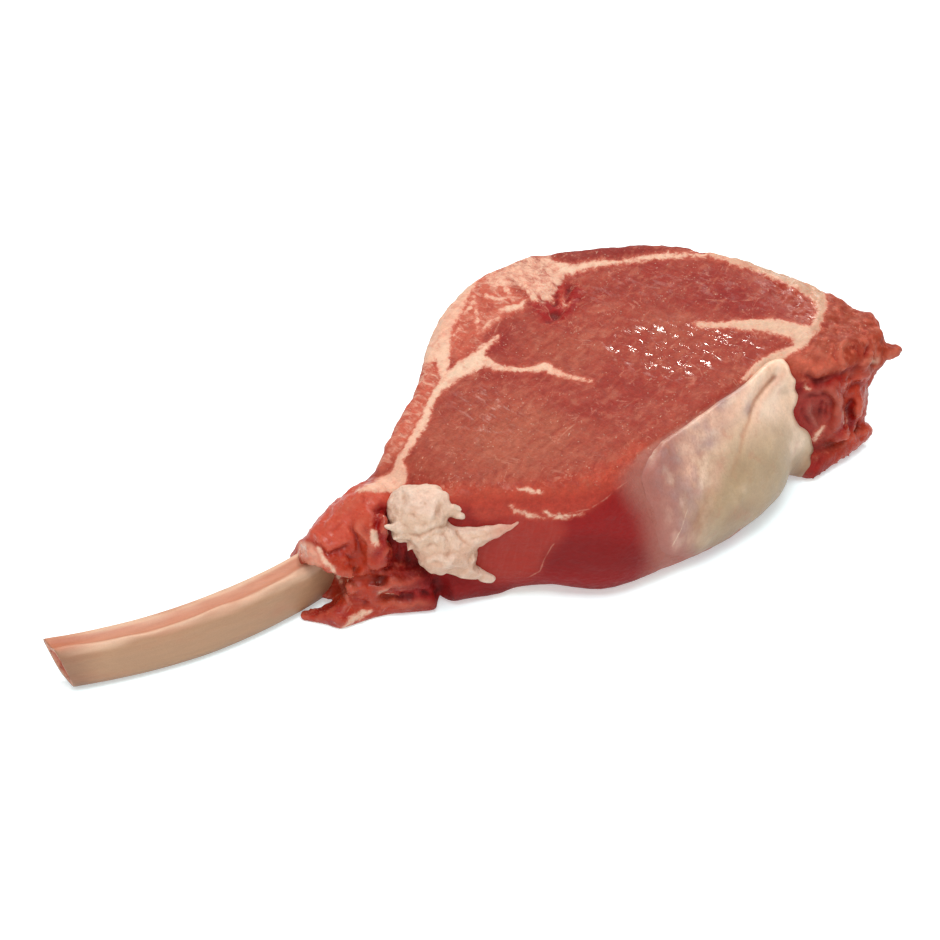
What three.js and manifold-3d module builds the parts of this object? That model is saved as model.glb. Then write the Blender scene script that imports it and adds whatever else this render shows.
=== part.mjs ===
// A one-rib roast of raw veal, lying on its cut face: a thick slab of meat with a scraped rib bone
// running out of its narrow end, a lump of fat on the front corner and a sheet of fat on the front side.
//
// Millimetres, +Z up. The origin is at the middle of the bounding box, on the surface the roast lies on.
// +X runs from the sawn tip of the bone to the far end of the meat, and the front side faces -Y.
//
// The meat and the fat are distance fields (negative inside), because flesh has no straight edges.
// Each field is a blend of a few named forms, and marching cubes turns it into a closed mesh.

import * as THREE from "three";
import { mergeVertices } from "three/addons/utils/BufferGeometryUtils.js";
import { edgeTable, triTable } from "three/addons/objects/MarchingCubes.js";
import Module from "manifold-3d";

// ---- driving dimensions ----

const THICKNESS = 42; // of the slab, between its two cut faces
const BELLY_HEIGHT = 11; // where the side stands out furthest
const RIM_ROUNDING = 5; // of the edge between the cut face and the side
const FOOT_ROUNDING = 5; // of the edge the slab stands on

const BONE_WIDTH = 10;
const BONE_HEIGHT = 17;
const BONE_ARC_RADIUS = 150;
const BONE_ARC_MIDDLE = { x: -106, y: -30.7 }; // where the bone runs along X
const BONE_TIP_X = -138.5;
const BONE_ROOT_X = -40; // its end inside the meat
const BONE_LIFT = 0.4;

const SHEET_PROUD = 1.6; // how far the fat sheet stands above the meat
const SHEET_DEPTH = 2.4; // and how deep it is set in

const BONE_CLEARANCE = 0.45; // between the bone and its socket in the meat
const FAT_CLEARANCE = 0.8; // between a fat piece and its seat, whose facets differ by up to 0.5
const SEAT_RISE = 3; // how far the sheet's seat is cut above the sheet, into the open
const SEAT_SLACK = 0.9; // and how much deeper than the sheet, for the folds behind it
const MEAT_CELL = 4; // marching cubes cell of the meat
const LUMP_CELL = 2.4; // and of the lump of fat

// ---- the slab's rim: where the cut face ends, and how the side below it stands out ----
// Each station is [x, y, belly, foot]: a point of the cut face's outline, and how far outside it
// the side stands at the belly and at the foot. They run anticlockwise from the far end's point.

const RIM_STATIONS = [
  [141, -22, -7, -9],
  [138, -11, -2, -5],
  [133, 2, 1, -2],
  [126, 16, 3, 0],
  [114, 29.5, 3, 0],
  [100, 41, 3, 0],
  [82, 48, 3, 0],
  [63, 53.5, 3, 0],
  [47, 57.5, 2, -1],
  [31, 54.5, 2, -1],
  [14, 43, 3, 0],
  [2, 28.5, 3, 0],
  [-9, 11, 3, 0],
  [-22, -3, 2, -1],
  [-33, -15, 2, -2],
  [-40, -26, 1, -4],
  [-30, -36, 0, -4],
  [-14, -44.5, 1, -2],
  [6, -51, 3, -4],
  [22, -55, 7, 2],
  [33, -51, 12, 7],
  [45, -45, 17, 12],
  [61, -39, 20, 15],
  [78, -31.5, 20, 14],
  [92, -25, 16, 11],
  [105, -20, 16, 14],
  [123, -25, 5, 2],
];

const OUTLINE_SAMPLES = 150;
const MEAT_BOX = new THREE.Box3(new THREE.Vector3(-76, -72, -7), new THREE.Vector3(153, 68, 49));

// ---- arithmetic of distance fields ----

const { clamp, lerp, smoothstep } = THREE.MathUtils;

// The smaller or larger of two distances, with the crease between them rounded over a width.
function smoothMin(a, b, width) {
  const h = Math.max(width - Math.abs(a - b), 0) / width;
  return Math.min(a, b) - (h * h * width) / 4;
}

function smoothMax(a, b, width) {
  return -smoothMin(-a, -b, width);
}

// An ellipsoid: centre, half sizes, and its turn about Z in degrees.
function ellipsoid(p, [cx, cy, cz], [rx, ry, rz], turn = 0) {
  const a = THREE.MathUtils.degToRad(turn);
  const dx = p.x - cx;
  const dy = p.y - cy;
  const u = (dx * Math.cos(a) + dy * Math.sin(a)) / rx;
  const v = (dy * Math.cos(a) - dx * Math.sin(a)) / ry;
  const w = (p.z - cz) / rz;
  const k = Math.hypot(u, v, w);
  const slope = Math.hypot(u / rx, v / ry, w / rz);
  return slope < 1e-9 ? -Math.min(rx, ry, rz) : (k * (k - 1)) / slope;
}

// A round bar between two points, with a radius at each end. flat squashes it along Z.
function bar(p, a, b, radiusA, radiusB, flat = 1) {
  const ax = b[0] - a[0];
  const ay = b[1] - a[1];
  const az = (b[2] - a[2]) / flat;
  const px = p.x - a[0];
  const py = p.y - a[1];
  const pz = (p.z - a[2]) / flat;
  const t = clamp((px * ax + py * ay + pz * az) / (ax * ax + ay * ay + az * az), 0, 1);
  return (Math.hypot(px - ax * t, py - ay * t, pz - az * t) - lerp(radiusA, radiusB, t)) * Math.min(flat, 1);
}

// A smooth unevenness between -1 and 1, whose lumps are about one size across.
function unevenness(p, size, phase) {
  const k = (2 * Math.PI) / (size * 2.4);
  const a = Math.sin(k * (p.x + 0.6 * p.y - 0.3 * p.z) + phase);
  const b = Math.sin(k * (-0.5 * p.x + 1.1 * p.y + 0.4 * p.z) + 2.1 * phase + 1);
  const c = Math.sin(k * (0.4 * p.x - 0.7 * p.y + 1.2 * p.z) + 3.7 * phase + 2);
  return (a * b + b * c + c * a) / 3 + (a + b + c) / 6;
}

// ---- the slab ----

// The closed outline at the top, belly or foot, as sampled points.
function rimOutline(standOut) {
  const rim = new THREE.CatmullRomCurve3(
    RIM_STATIONS.map(([x, y]) => new THREE.Vector3(x, y, 0)), true, "centripetal");
  const count = RIM_STATIONS.length;
  const points = RIM_STATIONS.map((station, i) => {
    const tangent = rim.getTangent(i / count);
    const out = standOut(station);
    return new THREE.Vector3(station[0] + tangent.y * out, station[1] - tangent.x * out, 0);
  });
  return new THREE.CatmullRomCurve3(points, true, "centripetal").getPoints(OUTLINE_SAMPLES);
}

// The signed distance from (x, y) to a closed outline.
function outlineDistance(outline, x, y) {
  let nearest = Infinity;
  let inside = false;
  for (let i = 0; i < outline.length - 1; i++) {
    const a = outline[i];
    const b = outline[i + 1];
    const ex = b.x - a.x;
    const ey = b.y - a.y;
    const t = clamp(((x - a.x) * ex + (y - a.y) * ey) / (ex * ex + ey * ey), 0, 1);
    nearest = Math.min(nearest, Math.hypot(x - a.x - t * ex, y - a.y - t * ey));
    if (a.y > y !== b.y > y && x < a.x + (ex * (y - a.y)) / ey) inside = !inside;
  }
  return inside ? -nearest : nearest;
}

const TOP_OUTLINE = rimOutline(() => 0);
const BELLY_OUTLINE = rimOutline(([, , belly]) => belly);
const FOOT_OUTLINE = rimOutline(([, , , foot]) => foot);

// The height of the upper cut face: level, but falling away at the far end and at the narrow end.
function cutFaceHeight(x, y) {
  const farEnd = 7 * smoothstep(x - 0.25 * y, 120, 158);
  const narrowEnd = 16 * smoothstep(-x - 0.35 * y, 26, 62);
  return THICKNESS - farEnd - narrowEnd;
}

function slabField(p) {
  const top = outlineDistance(TOP_OUTLINE, p.x, p.y);
  const belly = outlineDistance(BELLY_OUTLINE, p.x, p.y);
  const foot = outlineDistance(FOOT_OUTLINE, p.x, p.y);
  const up = clamp((p.z - BELLY_HEIGHT) / (THICKNESS - BELLY_HEIGHT), 0, 1);
  const down = clamp((BELLY_HEIGHT - p.z) / BELLY_HEIGHT, 0, 1);
  const upper = lerp(belly, top, up * up * (1.6 - 0.6 * up));
  const side = p.z > BELLY_HEIGHT ? upper : lerp(belly, foot, down * down);
  const aboveFace = p.z - cutFaceHeight(p.x, p.y);
  return smoothMax(smoothMax(side, aboveFace, RIM_ROUNDING), -p.z, FOOT_ROUNDING);
}

// ---- the narrow end, where the meat was scraped back from the bone ----

function narrowEndField(p) {
  const neck = ellipsoid(p, [-38, -23, 18], [25, 12, 18], 22);
  const upperLobe = bar(p, [-40, -27, 32], [-54.5, -27, 21.5], 8, 8);
  const fold = bar(p, [-41, -35, 33], [-42, -35.5, 21], 4, 4);
  const roll = bar(p, [-49, -33.5, 15], [-31.5, -39, 10.5], 5.5, 5);
  const sleeve = bar(p, [-54.5, -21.5, 9.5], [-37, -14, 12], 9.5, 12);
  let d = smoothMin(neck, upperLobe, 3);
  d = smoothMin(d, sleeve, 4);
  d = smoothMin(d, fold, 2.5);
  d = smoothMin(d, roll, 2.5);
  return smoothMin(d, bottomFlaps(p), 2);
}

// The two flaps that lie on the surface: a pointed one that ends under the bone, and one in front.
function bottomFlaps(p) {
  const point = bar(p, [-65, -31, 1], [-54.5, -36, 2], 1.2, 4.2);
  const middle = bar(p, [-54.5, -36, 2], [-42, -36, 3], 4.2, 4.4);
  const right = bar(p, [-42, -36, 3], [-28, -41, 3.4], 4.4, 4.2);
  const front = bar(p, [-19, -40, 5], [-8, -42.5, 4.5], 6, 4.6, 0.9);
  return Math.min(smoothMin(smoothMin(point, middle, 1.5), right, 1.5), front);
}

// Hollows between the torn flaps: the pocket behind the fat lump, the crease under the upper lobe,
// the slit above the bottom flap and the notch beside it.
function narrowEndHollows(p) {
  const pocket = ellipsoid(p, [-36, -36.5, 31], [3.4, 5, 8], 20);
  const crease = bar(p, [-57, -37, 15.5], [-45, -40.5, 17.5], 1.6, 2.4);
  const slit = bar(p, [-48, -43, 7], [-24, -48, 7], 1.6, 3);
  const notch = ellipsoid(p, [-24.5, -45.5, 8], [2.6, 5.5, 10]);
  return Math.min(pocket, crease, slit, notch);
}

// ---- the far end, where the backbone was cut away ----

function farEndField(p) {
  const ledge = bar(p, [104, -26, 36.5], [126, -26, 35], 5.5, 5);
  const shoulder = ellipsoid(p, [138, -13, 32], [5.5, 5, 5.5]);
  const point = bar(p, [131, -22, 32], [145.5, -26, 31], 6.5, 2.2, 0.8);
  const underPoint = bar(p, [134, -24, 28], [127, -26.5, 18], 4.5, 4);
  const wall = ellipsoid(p, [111, -26, 17], [17, 9, 19], -20);
  const ring = bar(p, [115, -32.5, 31], [117, -34.5, 14], 3.6, 4);
  const column = bar(p, [127, -26, 29], [127.5, -27, 8], 4.5, 4.2);
  const bottomFlap = bar(p, [107, -36, 4], [130, -29, 4.5], 5, 4, 0.9);
  let d = smoothMin(ledge, point, 4);
  d = smoothMin(d, shoulder, 3);
  d = smoothMin(d, wall, 3);
  d = smoothMin(d, ring, 2.5);
  d = smoothMin(d, underPoint, 2.5);
  d = smoothMin(d, column, 2.5);
  return smoothMin(d, bottomFlap, 2.5);
}

// Hollows there: the whorl where a muscle was lifted out, the crease under the ledge, and the
// grooves beside the column and above the bottom flap.
function farEndHollows(p) {
  const whorl = ellipsoid(p, [108.5, -38.5, 24], [5.5, 5.5, 8], -20);
  const crease = bar(p, [105, -40, 33], [127, -34.5, 30.5], 1.6, 2.8);
  const groove = bar(p, [121.5, -35, 27], [122, -35.5, 11], 2, 3);
  const seam = bar(p, [118, -40, 10], [134, -33, 10.5], 1.6, 2.6);
  return Math.min(whorl, crease, groove, seam);
}

// ---- the whole meat ----

// The torn ends are lumpy, the side is a little uneven, and the knife left the cut faces flat.
function meatField(p) {
  let d = slabField(p);
  d = smoothMin(d, narrowEndField(p), 5);
  d = smoothMin(d, farEndField(p), 5);
  d = smoothMax(d, -narrowEndHollows(p), 2);
  d = smoothMax(d, -farEndHollows(p), 2);
  const torn = Math.max(smoothstep(-p.x, 30, 44), smoothstep(p.x, 104, 120));
  const belowFace = smoothstep(cutFaceHeight(p.x, p.y) - p.z, 2, 10);
  const aboveFloor = smoothstep(p.z, 1, 6);
  return Math.max(d + Math.max(torn, 0.4 * belowFace) * aboveFloor * unevenness(p, 9, 0.4), -p.z);
}

// ---- the fat ----

// The lump on the front corner of the cut face, hanging down over the side in a ragged tail.
function lumpField(p) {
  const crown = ellipsoid(p, [-28, -35.5, 36.5], [9.5, 6.5, 6.5], -25);
  const ear = ellipsoid(p, [-18.5, -42, 35], [4.4, 3.2, 3.6], 20);
  const body = bar(p, [-27.5, -38.5, 31], [-20, -43, 18], 6.5, 6);
  const tail = bar(p, [-20, -43, 23], [-5, -47.5, 33], 5, 2);
  const toe = bar(p, [-22, -43, 14], [-12, -46.5, 10], 4.4, 2.2);
  const strands = ellipsoid(p, [-34, -37.5, 30], [3.5, 3, 4]);
  let d = smoothMin(crown, body, 4);
  d = smoothMin(d, ear, 1.5);
  d = smoothMin(d, tail, 3);
  d = smoothMin(d, toe, 2.5);
  d = smoothMin(d, strands, 2);
  return d + 0.5 * unevenness(p, 6, 1.3);
}

const LUMP_BOX = new THREE.Box3(new THREE.Vector3(-44, -62, 2), new THREE.Vector3(8, -22, 50));

// The sheet follows the meat's side inside a patch, drawn as the side is seen square on: (u, z),
// where u runs along the side and the line of sight runs along SHEET_SIGHT.
const SHEET_PATCH = [
  [60, 42], [83, 42], [105.5, 42], [107.5, 33], [105.5, 24.5], [110, 14], [107, 4],
  [94, 1], [66, 1], [49, 3.5], [50.5, 20],
];
const SHEET_LOWEST = 1.6;
const SHEET_HIGHEST = THICKNESS - 1;
const SHEET_MIDDLE = new THREE.Vector2(80, 22);
const SHEET_SIGHT = new THREE.Vector3(-0.42, 1, 0);
const SHEET_SIGHT_START = -85; // the lines of sight start at this y, clear of the meat
const SHEET_SIGHT_END = -5; // and end here, well inside it
const SHEET_RINGS = 6;
const SHEET_RING_POINTS = 36;
const SHEET_OUTLINE = new THREE.CatmullRomCurve3(
  SHEET_PATCH.map(([u, z]) => new THREE.Vector3(u, z, 0)), true, "centripetal");

// The first point along the line of sight at (u, z) where the meat's field falls to a level.
function sightPoint(u, z, level) {
  const at = (y) => new THREE.Vector3(u, -40, z).addScaledVector(SHEET_SIGHT, y + 40);
  let far = SHEET_SIGHT_START;
  while (far < SHEET_SIGHT_END && meatField(at(far)) > level) far += 0.5;
  let near = far - 0.5;
  for (let halving = 0; halving < 12; halving++) {
    const middle = (near + far) / 2;
    if (meatField(at(middle)) > level) near = middle;
    else far = middle;
  }
  return at(far);
}

// A closed sheet that stands proud of the meat and is set into it. It thins towards its edge.
function sheetGeometry(proud, depth, grow) {
  const widen = 1 + grow / SHEET_MIDDLE.y;
  const outline = SHEET_OUTLINE.getPoints(SHEET_RING_POINTS).slice(1);
  const thickness = (share) => 1 - 0.6 * share ** 6;
  const front = (u, z, share) => sightPoint(u, z, proud * thickness(share) + grow);
  const back = (u, z, share) =>
    sightPoint(u, z, 0).addScaledVector(SHEET_SIGHT, depth * thickness(share) + grow);
  const ring = (share, place) => outline.map((edge) => {
    const u = lerp(SHEET_MIDDLE.x, edge.x, share * widen);
    const z = lerp(SHEET_MIDDLE.y, edge.y, share * widen);
    return place(u, clamp(z, SHEET_LOWEST - grow, SHEET_HIGHEST + grow), share);
  });
  const shares = [];
  for (let i = 1; i <= SHEET_RINGS; i++) shares.push(Math.sin((i / SHEET_RINGS) * (Math.PI / 2)));
  const frontRings = shares.map((share) => ring(share, front));
  const backRings = shares.map((share) => ring(share, back)).reverse();
  const { x, y } = SHEET_MIDDLE;
  return loft([...frontRings, ...backRings], front(x, y, 0), back(x, y, 0));
}

// ---- the bone ----

// A closed skin over rings of points, with a fan over each end.
function loft(rings, startCentre, endCentre) {
  const size = rings[0].length;
  const positions = [...rings.flat(), startCentre, endCentre].flatMap((v) => v.toArray());
  const index = [];
  for (let r = 0; r < rings.length - 1; r++) {
    for (let i = 0; i < size; i++) {
      const a = r * size + i;
      const b = r * size + ((i + 1) % size);
      index.push(a, b, b + size, a, b + size, a + size);
    }
  }
  const start = rings.length * size;
  for (let i = 0; i < size; i++) {
    const next = (i + 1) % size;
    index.push(start, next, i);
    index.push(start + 1, start - size + i, start - size + next);
  }
  const geometry = new THREE.BufferGeometry();
  geometry.setAttribute("position", new THREE.Float32BufferAttribute(positions, 3));
  geometry.setIndex(index);
  return geometry;
}

// The middle of the bone at x, on its arc.
function boneAxis(x) {
  const along = x - BONE_ARC_MIDDLE.x;
  const y = BONE_ARC_MIDDLE.y + BONE_ARC_RADIUS - Math.sqrt(BONE_ARC_RADIUS ** 2 - along ** 2);
  return new THREE.Vector3(x, y, BONE_LIFT + BONE_HEIGHT / 2);
}

const BONE_RING_POINTS = 20;
const BONE_RINGS = 26;
const SAW_SKEW = 0.5; // the saw left the far side of the tip longer
const SAW_RAKE = 0.22; // and its upper edge longer

// The rings of the bone's skin, grown all round by a clearance where they make its socket in the meat.
function boneRings(grow) {
  const rings = [];
  for (let r = 0; r < BONE_RINGS; r++) {
    const share = r / (BONE_RINGS - 1);
    const x = lerp(BONE_TIP_X - grow, BONE_ROOT_X + grow, share);
    const centre = boneAxis(x);
    const heading = Math.asin((x - BONE_ARC_MIDDLE.x) / BONE_ARC_RADIUS);
    const halfWidth = BONE_WIDTH * (0.5 - 0.04 * Math.cos(share * 5)) + grow;
    const halfHeight = BONE_HEIGHT * (0.5 - 0.012 * Math.cos(share * 7)) + grow;
    const sawn = 1 - smoothstep(share, 0, 0.12);
    const ring = [];
    for (let i = 0; i < BONE_RING_POINTS; i++) {
      const a = (2 * Math.PI * i) / BONE_RING_POINTS;
      const across = Math.sign(Math.cos(a)) * Math.abs(Math.cos(a)) ** 0.5 * halfWidth;
      const height = Math.sign(Math.sin(a)) * Math.abs(Math.sin(a)) ** 0.5 * halfHeight;
      const along = -sawn * (SAW_SKEW * across + SAW_RAKE * height);
      ring.push(new THREE.Vector3(
        centre.x - Math.sin(heading) * across + Math.cos(heading) * along,
        centre.y + Math.cos(heading) * across + Math.sin(heading) * along,
        centre.z + height));
    }
    rings.push(ring);
  }
  return rings;
}

// The sawn end is a hard rim round a shallow hollow of marrow.
function boneGeometry(grow) {
  const rings = boneRings(grow);
  const tip = boneAxis(BONE_TIP_X - grow);
  const root = boneAxis(BONE_ROOT_X + grow);
  const inner = rings[0].map((v) => v.clone().lerp(tip, 0.28));
  const marrow = rings[0].map((v) => v.clone().lerp(tip, 0.42).add(new THREE.Vector3(1.2, 0, 0)));
  return loft([marrow, inner, ...rings], tip.clone().add(new THREE.Vector3(1.2, 0, 0)), root);
}

// ---- from fields to solids ----

const CORNERS = [[0, 0, 0], [1, 0, 0], [1, 1, 0], [0, 1, 0], [0, 0, 1], [1, 0, 1], [1, 1, 1], [0, 1, 1]];
const EDGES = [
  [0, 1], [1, 2], [2, 3], [3, 0], [4, 5], [5, 6], [6, 7], [7, 4], [0, 4], [1, 5], [2, 6], [3, 7],
];
const LEAST_SHARE = 0.06; // keeps a crossing off its grid point, so that no triangle is a needle

// Marching cubes over a box: the closed surface where the field is zero.
function polygonise(field, box, cell) {
  const size = box.getSize(new THREE.Vector3()).divideScalar(cell).ceil();
  const [nx, ny, nz] = [size.x + 1, size.y + 1, size.z + 1];
  const values = new Float32Array(nx * ny * nz);
  const p = new THREE.Vector3();
  const at = (i, j, k) => i + nx * (j + ny * k);
  const place = (i, j, k) => p.set(box.min.x + i * cell, box.min.y + j * cell, box.min.z + k * cell);
  for (let k = 0; k < nz; k++)
    for (let j = 0; j < ny; j++)
      for (let i = 0; i < nx; i++) values[at(i, j, k)] = field(place(i, j, k));
  const positions = [];
  const index = [];
  const seen = new Map();
  const crossing = (from, to) => {
    const [a, b] = [at(...from), at(...to)];
    const key = a < b ? `${a}_${b}` : `${b}_${a}`;
    if (!seen.has(key)) {
      const share = clamp(values[a] / (values[a] - values[b]), LEAST_SHARE, 1 - LEAST_SHARE);
      const start = place(...from).clone();
      const point = start.lerp(place(...to).clone(), share);
      seen.set(key, positions.length / 3);
      positions.push(point.x, point.y, point.z);
    }
    return seen.get(key);
  };
  for (let k = 0; k < nz - 1; k++) {
    for (let j = 0; j < ny - 1; j++) {
      for (let i = 0; i < nx - 1; i++) {
        const corners = CORNERS.map(([x, y, z]) => [i + x, j + y, k + z]);
        const code = corners.reduce((bits, c, n) => bits | (values[at(...c)] < 0 ? 1 << n : 0), 0);
        if (edgeTable[code] === 0) continue;
        for (let t = code * 16; triTable[t] !== -1; t += 3) {
          const [a, b, c] = [0, 1, 2].map((n) => {
            const [from, to] = EDGES[triTable[t + n]];
            return crossing(corners[from], corners[to]);
          });
          index.push(a, c, b);
        }
      }
    }
  }
  const geometry = new THREE.BufferGeometry();
  geometry.setAttribute("position", new THREE.Float32BufferAttribute(positions, 3));
  geometry.setIndex(index);
  return geometry;
}

const wasm = await Module();
wasm.setup();

function solidOf(geometry) {
  const merged = mergeVertices(geometry, 1e-4);
  return new wasm.Manifold(new wasm.Mesh({
    numProp: 3,
    vertProperties: merged.attributes.position.array,
    triVerts: new Uint32Array(merged.index.array),
  }));
}

// The largest of a solid's separate bodies, without the crumbs that a cut leaves.
function mainBody(solid) {
  return solid.decompose().reduce((a, b) => (a.volume() > b.volume() ? a : b));
}

function geometryOf(solid) {
  const mesh = solid.getMesh();
  const geometry = new THREE.BufferGeometry();
  geometry.setAttribute("position", new THREE.Float32BufferAttribute(mesh.vertProperties, 3));
  geometry.setIndex(Array.from(mesh.triVerts));
  const faceted = geometry.toNonIndexed();
  faceted.computeVertexNormals();
  return faceted;
}

// ---- materials ----

const fleshRed = new THREE.MeshStandardMaterial({ color: 0xa8493f, roughness: 0.45, metalness: 0 });
const fatCream = new THREE.MeshStandardMaterial({ color: 0xe6c9ae, roughness: 0.5, metalness: 0 });
const sheetCream = new THREE.MeshStandardMaterial({ color: 0xd9bda0, roughness: 0.4, metalness: 0 });
const boneTan = new THREE.MeshStandardMaterial({ color: 0xd3ac8b, roughness: 0.55, metalness: 0 });

// ---- assembly ----

function named(name, solid, material) {
  const mesh = new THREE.Mesh(geometryOf(solid), material);
  mesh.name = name;
  return mesh;
}

const bone = solidOf(boneGeometry(0));
const socket = solidOf(boneGeometry(BONE_CLEARANCE));
const lump = solidOf(polygonise(lumpField, LUMP_BOX, LUMP_CELL));
const lumpSeat = solidOf(polygonise((p) => lumpField(p) - FAT_CLEARANCE, LUMP_BOX, LUMP_CELL));
const sheet = solidOf(sheetGeometry(SHEET_PROUD, SHEET_DEPTH, 0));
const sheetSeat = solidOf(sheetGeometry(SHEET_PROUD + SEAT_RISE, SHEET_DEPTH + SEAT_SLACK, FAT_CLEARANCE));
const flesh = solidOf(polygonise(meatField, MEAT_BOX, MEAT_CELL));
const meat = mainBody(flesh.subtract(socket).subtract(lumpSeat).subtract(sheetSeat));

const pieces = new THREE.Group();
pieces.add(named("meat", meat, fleshRed));
pieces.add(named("rib_bone", bone, boneTan));
pieces.add(named("fat_lump", mainBody(lump.subtract(socket)), fatCream));
pieces.add(named("fat_sheet", sheet, sheetCream));

// The forms above are placed from a point near the middle; this moves that middle exactly to the origin.
const extent = new THREE.Box3().setFromObject(pieces);
const middle = extent.getCenter(new THREE.Vector3());
pieces.position.set(-middle.x, -middle.y, -extent.min.z);

const roast = new THREE.Group();
roast.name = "veal_rib_roast";
roast.add(pieces);

export default roast;
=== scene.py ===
"""Looks for a raw veal rib roast: fine meshes over the CAD solids, painted tissue, lights and camera.

All shapes are worked out in millimetres in the form frame, the frame in which the CAD source places
its forms. SHIFT_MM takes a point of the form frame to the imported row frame.
Marks on the surface are placed by where they lie in the photograph: a pixel of the 940 x 940 frame is
followed along the camera's line of sight onto the surface.
"""

import math
from types import SimpleNamespace

import bpy
import numpy as np
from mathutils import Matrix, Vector


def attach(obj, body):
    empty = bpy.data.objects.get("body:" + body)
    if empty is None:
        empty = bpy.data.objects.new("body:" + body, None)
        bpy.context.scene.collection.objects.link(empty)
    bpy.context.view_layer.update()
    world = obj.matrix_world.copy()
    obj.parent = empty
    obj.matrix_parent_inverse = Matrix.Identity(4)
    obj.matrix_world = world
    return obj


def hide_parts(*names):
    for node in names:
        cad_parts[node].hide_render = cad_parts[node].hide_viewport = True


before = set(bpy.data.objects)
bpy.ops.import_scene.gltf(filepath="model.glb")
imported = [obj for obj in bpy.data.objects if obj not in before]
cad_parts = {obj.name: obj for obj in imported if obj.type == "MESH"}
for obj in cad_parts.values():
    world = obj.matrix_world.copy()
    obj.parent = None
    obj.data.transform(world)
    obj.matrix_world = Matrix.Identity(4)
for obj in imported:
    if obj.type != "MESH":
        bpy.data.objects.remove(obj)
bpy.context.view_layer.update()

SHIFT_MM = np.array([-1.978, 1.494, 0.0])

# ---- the photograph's camera, in the form frame ----

IMAGE_SIDE = 940
LENS_MM = 85.0
SENSOR_MM = 36.0
CAMERA_AZIMUTH = -24.0
CAMERA_ELEVATION = 42.0
CAMERA_DISTANCE_MM = 700.0
CAMERA_TARGET_MM = np.array([2.8, -2.5, 12.0])

_az = math.radians(CAMERA_AZIMUTH)
_el = math.radians(CAMERA_ELEVATION)
VIEW_BACK = np.array([
    math.sin(_az) * math.cos(_el),
    -math.cos(_az) * math.cos(_el),
    math.sin(_el),
])
VIEW_RIGHT = np.array([math.cos(_az), math.sin(_az), 0.0])
VIEW_UP = np.cross(VIEW_BACK, VIEW_RIGHT)
CAMERA_PLACE_MM = CAMERA_TARGET_MM + VIEW_BACK * CAMERA_DISTANCE_MM
FOCAL_PX = LENS_MM / SENSOR_MM * IMAGE_SIDE


def pixels_of(x, y, z):
    """Where points of the form frame fall in the photograph, as pixel coordinates."""
    dx = x - CAMERA_PLACE_MM[0]
    dy = y - CAMERA_PLACE_MM[1]
    dz = z - CAMERA_PLACE_MM[2]
    across = dx * VIEW_RIGHT[0] + dy * VIEW_RIGHT[1]
    upward = dx * VIEW_UP[0] + dy * VIEW_UP[1] + dz * VIEW_UP[2]
    depth = -(dx * VIEW_BACK[0] + dy * VIEW_BACK[1] + dz * VIEW_BACK[2])
    half = IMAGE_SIDE / 2
    return half + FOCAL_PX * across / depth, half - FOCAL_PX * upward / depth


# ---- dimensions, the same as in the CAD source ----

THICKNESS = 42.0
BELLY_HEIGHT = 11.0
FAR_END_FALL = 7.0
NARROW_END_FALL = 16.0
RIM_ROUNDING = 3.6
FRONT_ROUNDING = 11.0
BACK_ROUNDING = 10.0
FOOT_ROUNDING = 5.0

BONE_WIDTH = 10.0
BONE_HEIGHT = 17.0
BONE_ARC_RADIUS = 150.0
BONE_ARC_MIDDLE = (-106.0, -30.7)
BONE_TIP_X = -138.5
BONE_ROOT_X = -40.0
BONE_LIFT = 0.4

SHEET_PROUD = 1.5
SHEET_DEPTH = 2.4
SHEET_LOWEST = 1.4
SHEET_HIGHEST = 41.7  # the knife cut it level with the cut face

# Each station of the rim is (x, y, belly, foot): a point of the upper cut face's outline, and how far
# outside it the side stands at the belly and at the foot.
RIM_STATIONS = [
    (141, -22, -7, -9),
    (138, -11, -2, -5),
    (133, 2, 1, -2),
    (126, 16, 3, 0),
    (114, 29.5, 3, 0),
    (100, 41, 3, 0),
    (82, 48, 3, 0),
    (63, 53.5, 3, 0),
    (47, 57.5, 2, -1),
    (31, 54.5, 2, -1),
    (14, 43, 3, 0),
    (2, 28.5, 3, 0),
    (-9, 11, 3, 0),
    (-22, -3, 2, -1),
    (-33, -15, 2, -2),
    (-40, -26, 1, -4),
    (-30, -36, 0, -4),
    (-14, -44.5, 1, -2),
    (6, -51, 3, -4),
    (22, -55, 7, 2),
    (33, -51, 12, 7),
    (45, -45, 17, 12),
    (61, -39, 20, 15),
    (78, -31.5, 20, 14),
    (92, -25, 16, 11),
    (105, -20, 16, 14),
    (123, -25, 5, 2),
]
OUTLINE_STEPS = 8

# Spans of a grid's axis: from, to, spacing. The torn ends are finer than the plain middle.
MEAT_SPANS = (
    [(-78.0, -12.0, 0.6), (-12.0, 98.0, 1.08), (98.0, 155.0, 0.6)],
    [(-74.0, 70.0, 0.75)],
    [(-3.0, 48.0, 0.8)],
)
LUMP_SPANS = ([(-46.0, 8.0, 0.5)], [(-62.0, -22.0, 0.5)], [(2.0, 48.0, 0.5)])
SHEET_SPANS = ([(36.0, 118.0, 0.6)], [(-66.0, -8.0, 0.6)], [(-1.0, 46.0, 0.6)])

# ---- arithmetic of distance fields, on numpy arrays ----


def clamp01(value):
    return np.clip(value, 0.0, 1.0)


def smoothstep(value, low, high):
    share = clamp01((value - low) / (high - low))
    return share * share * (3 - 2 * share)


def smooth_min(a, b, width):
    """The smaller of two distances, with the crease between them rounded over a width."""
    h = np.maximum(width - np.abs(a - b), 0) / width
    return np.minimum(a, b) - h * h * width / 4


def smooth_max(a, b, width):
    return -smooth_min(-a, -b, width)


def joined(first, others):
    """A distance joined in turn with others, each given with the width of its rounded crease."""
    for other, width in others:
        first = smooth_min(first, other, width)
    return first


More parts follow.
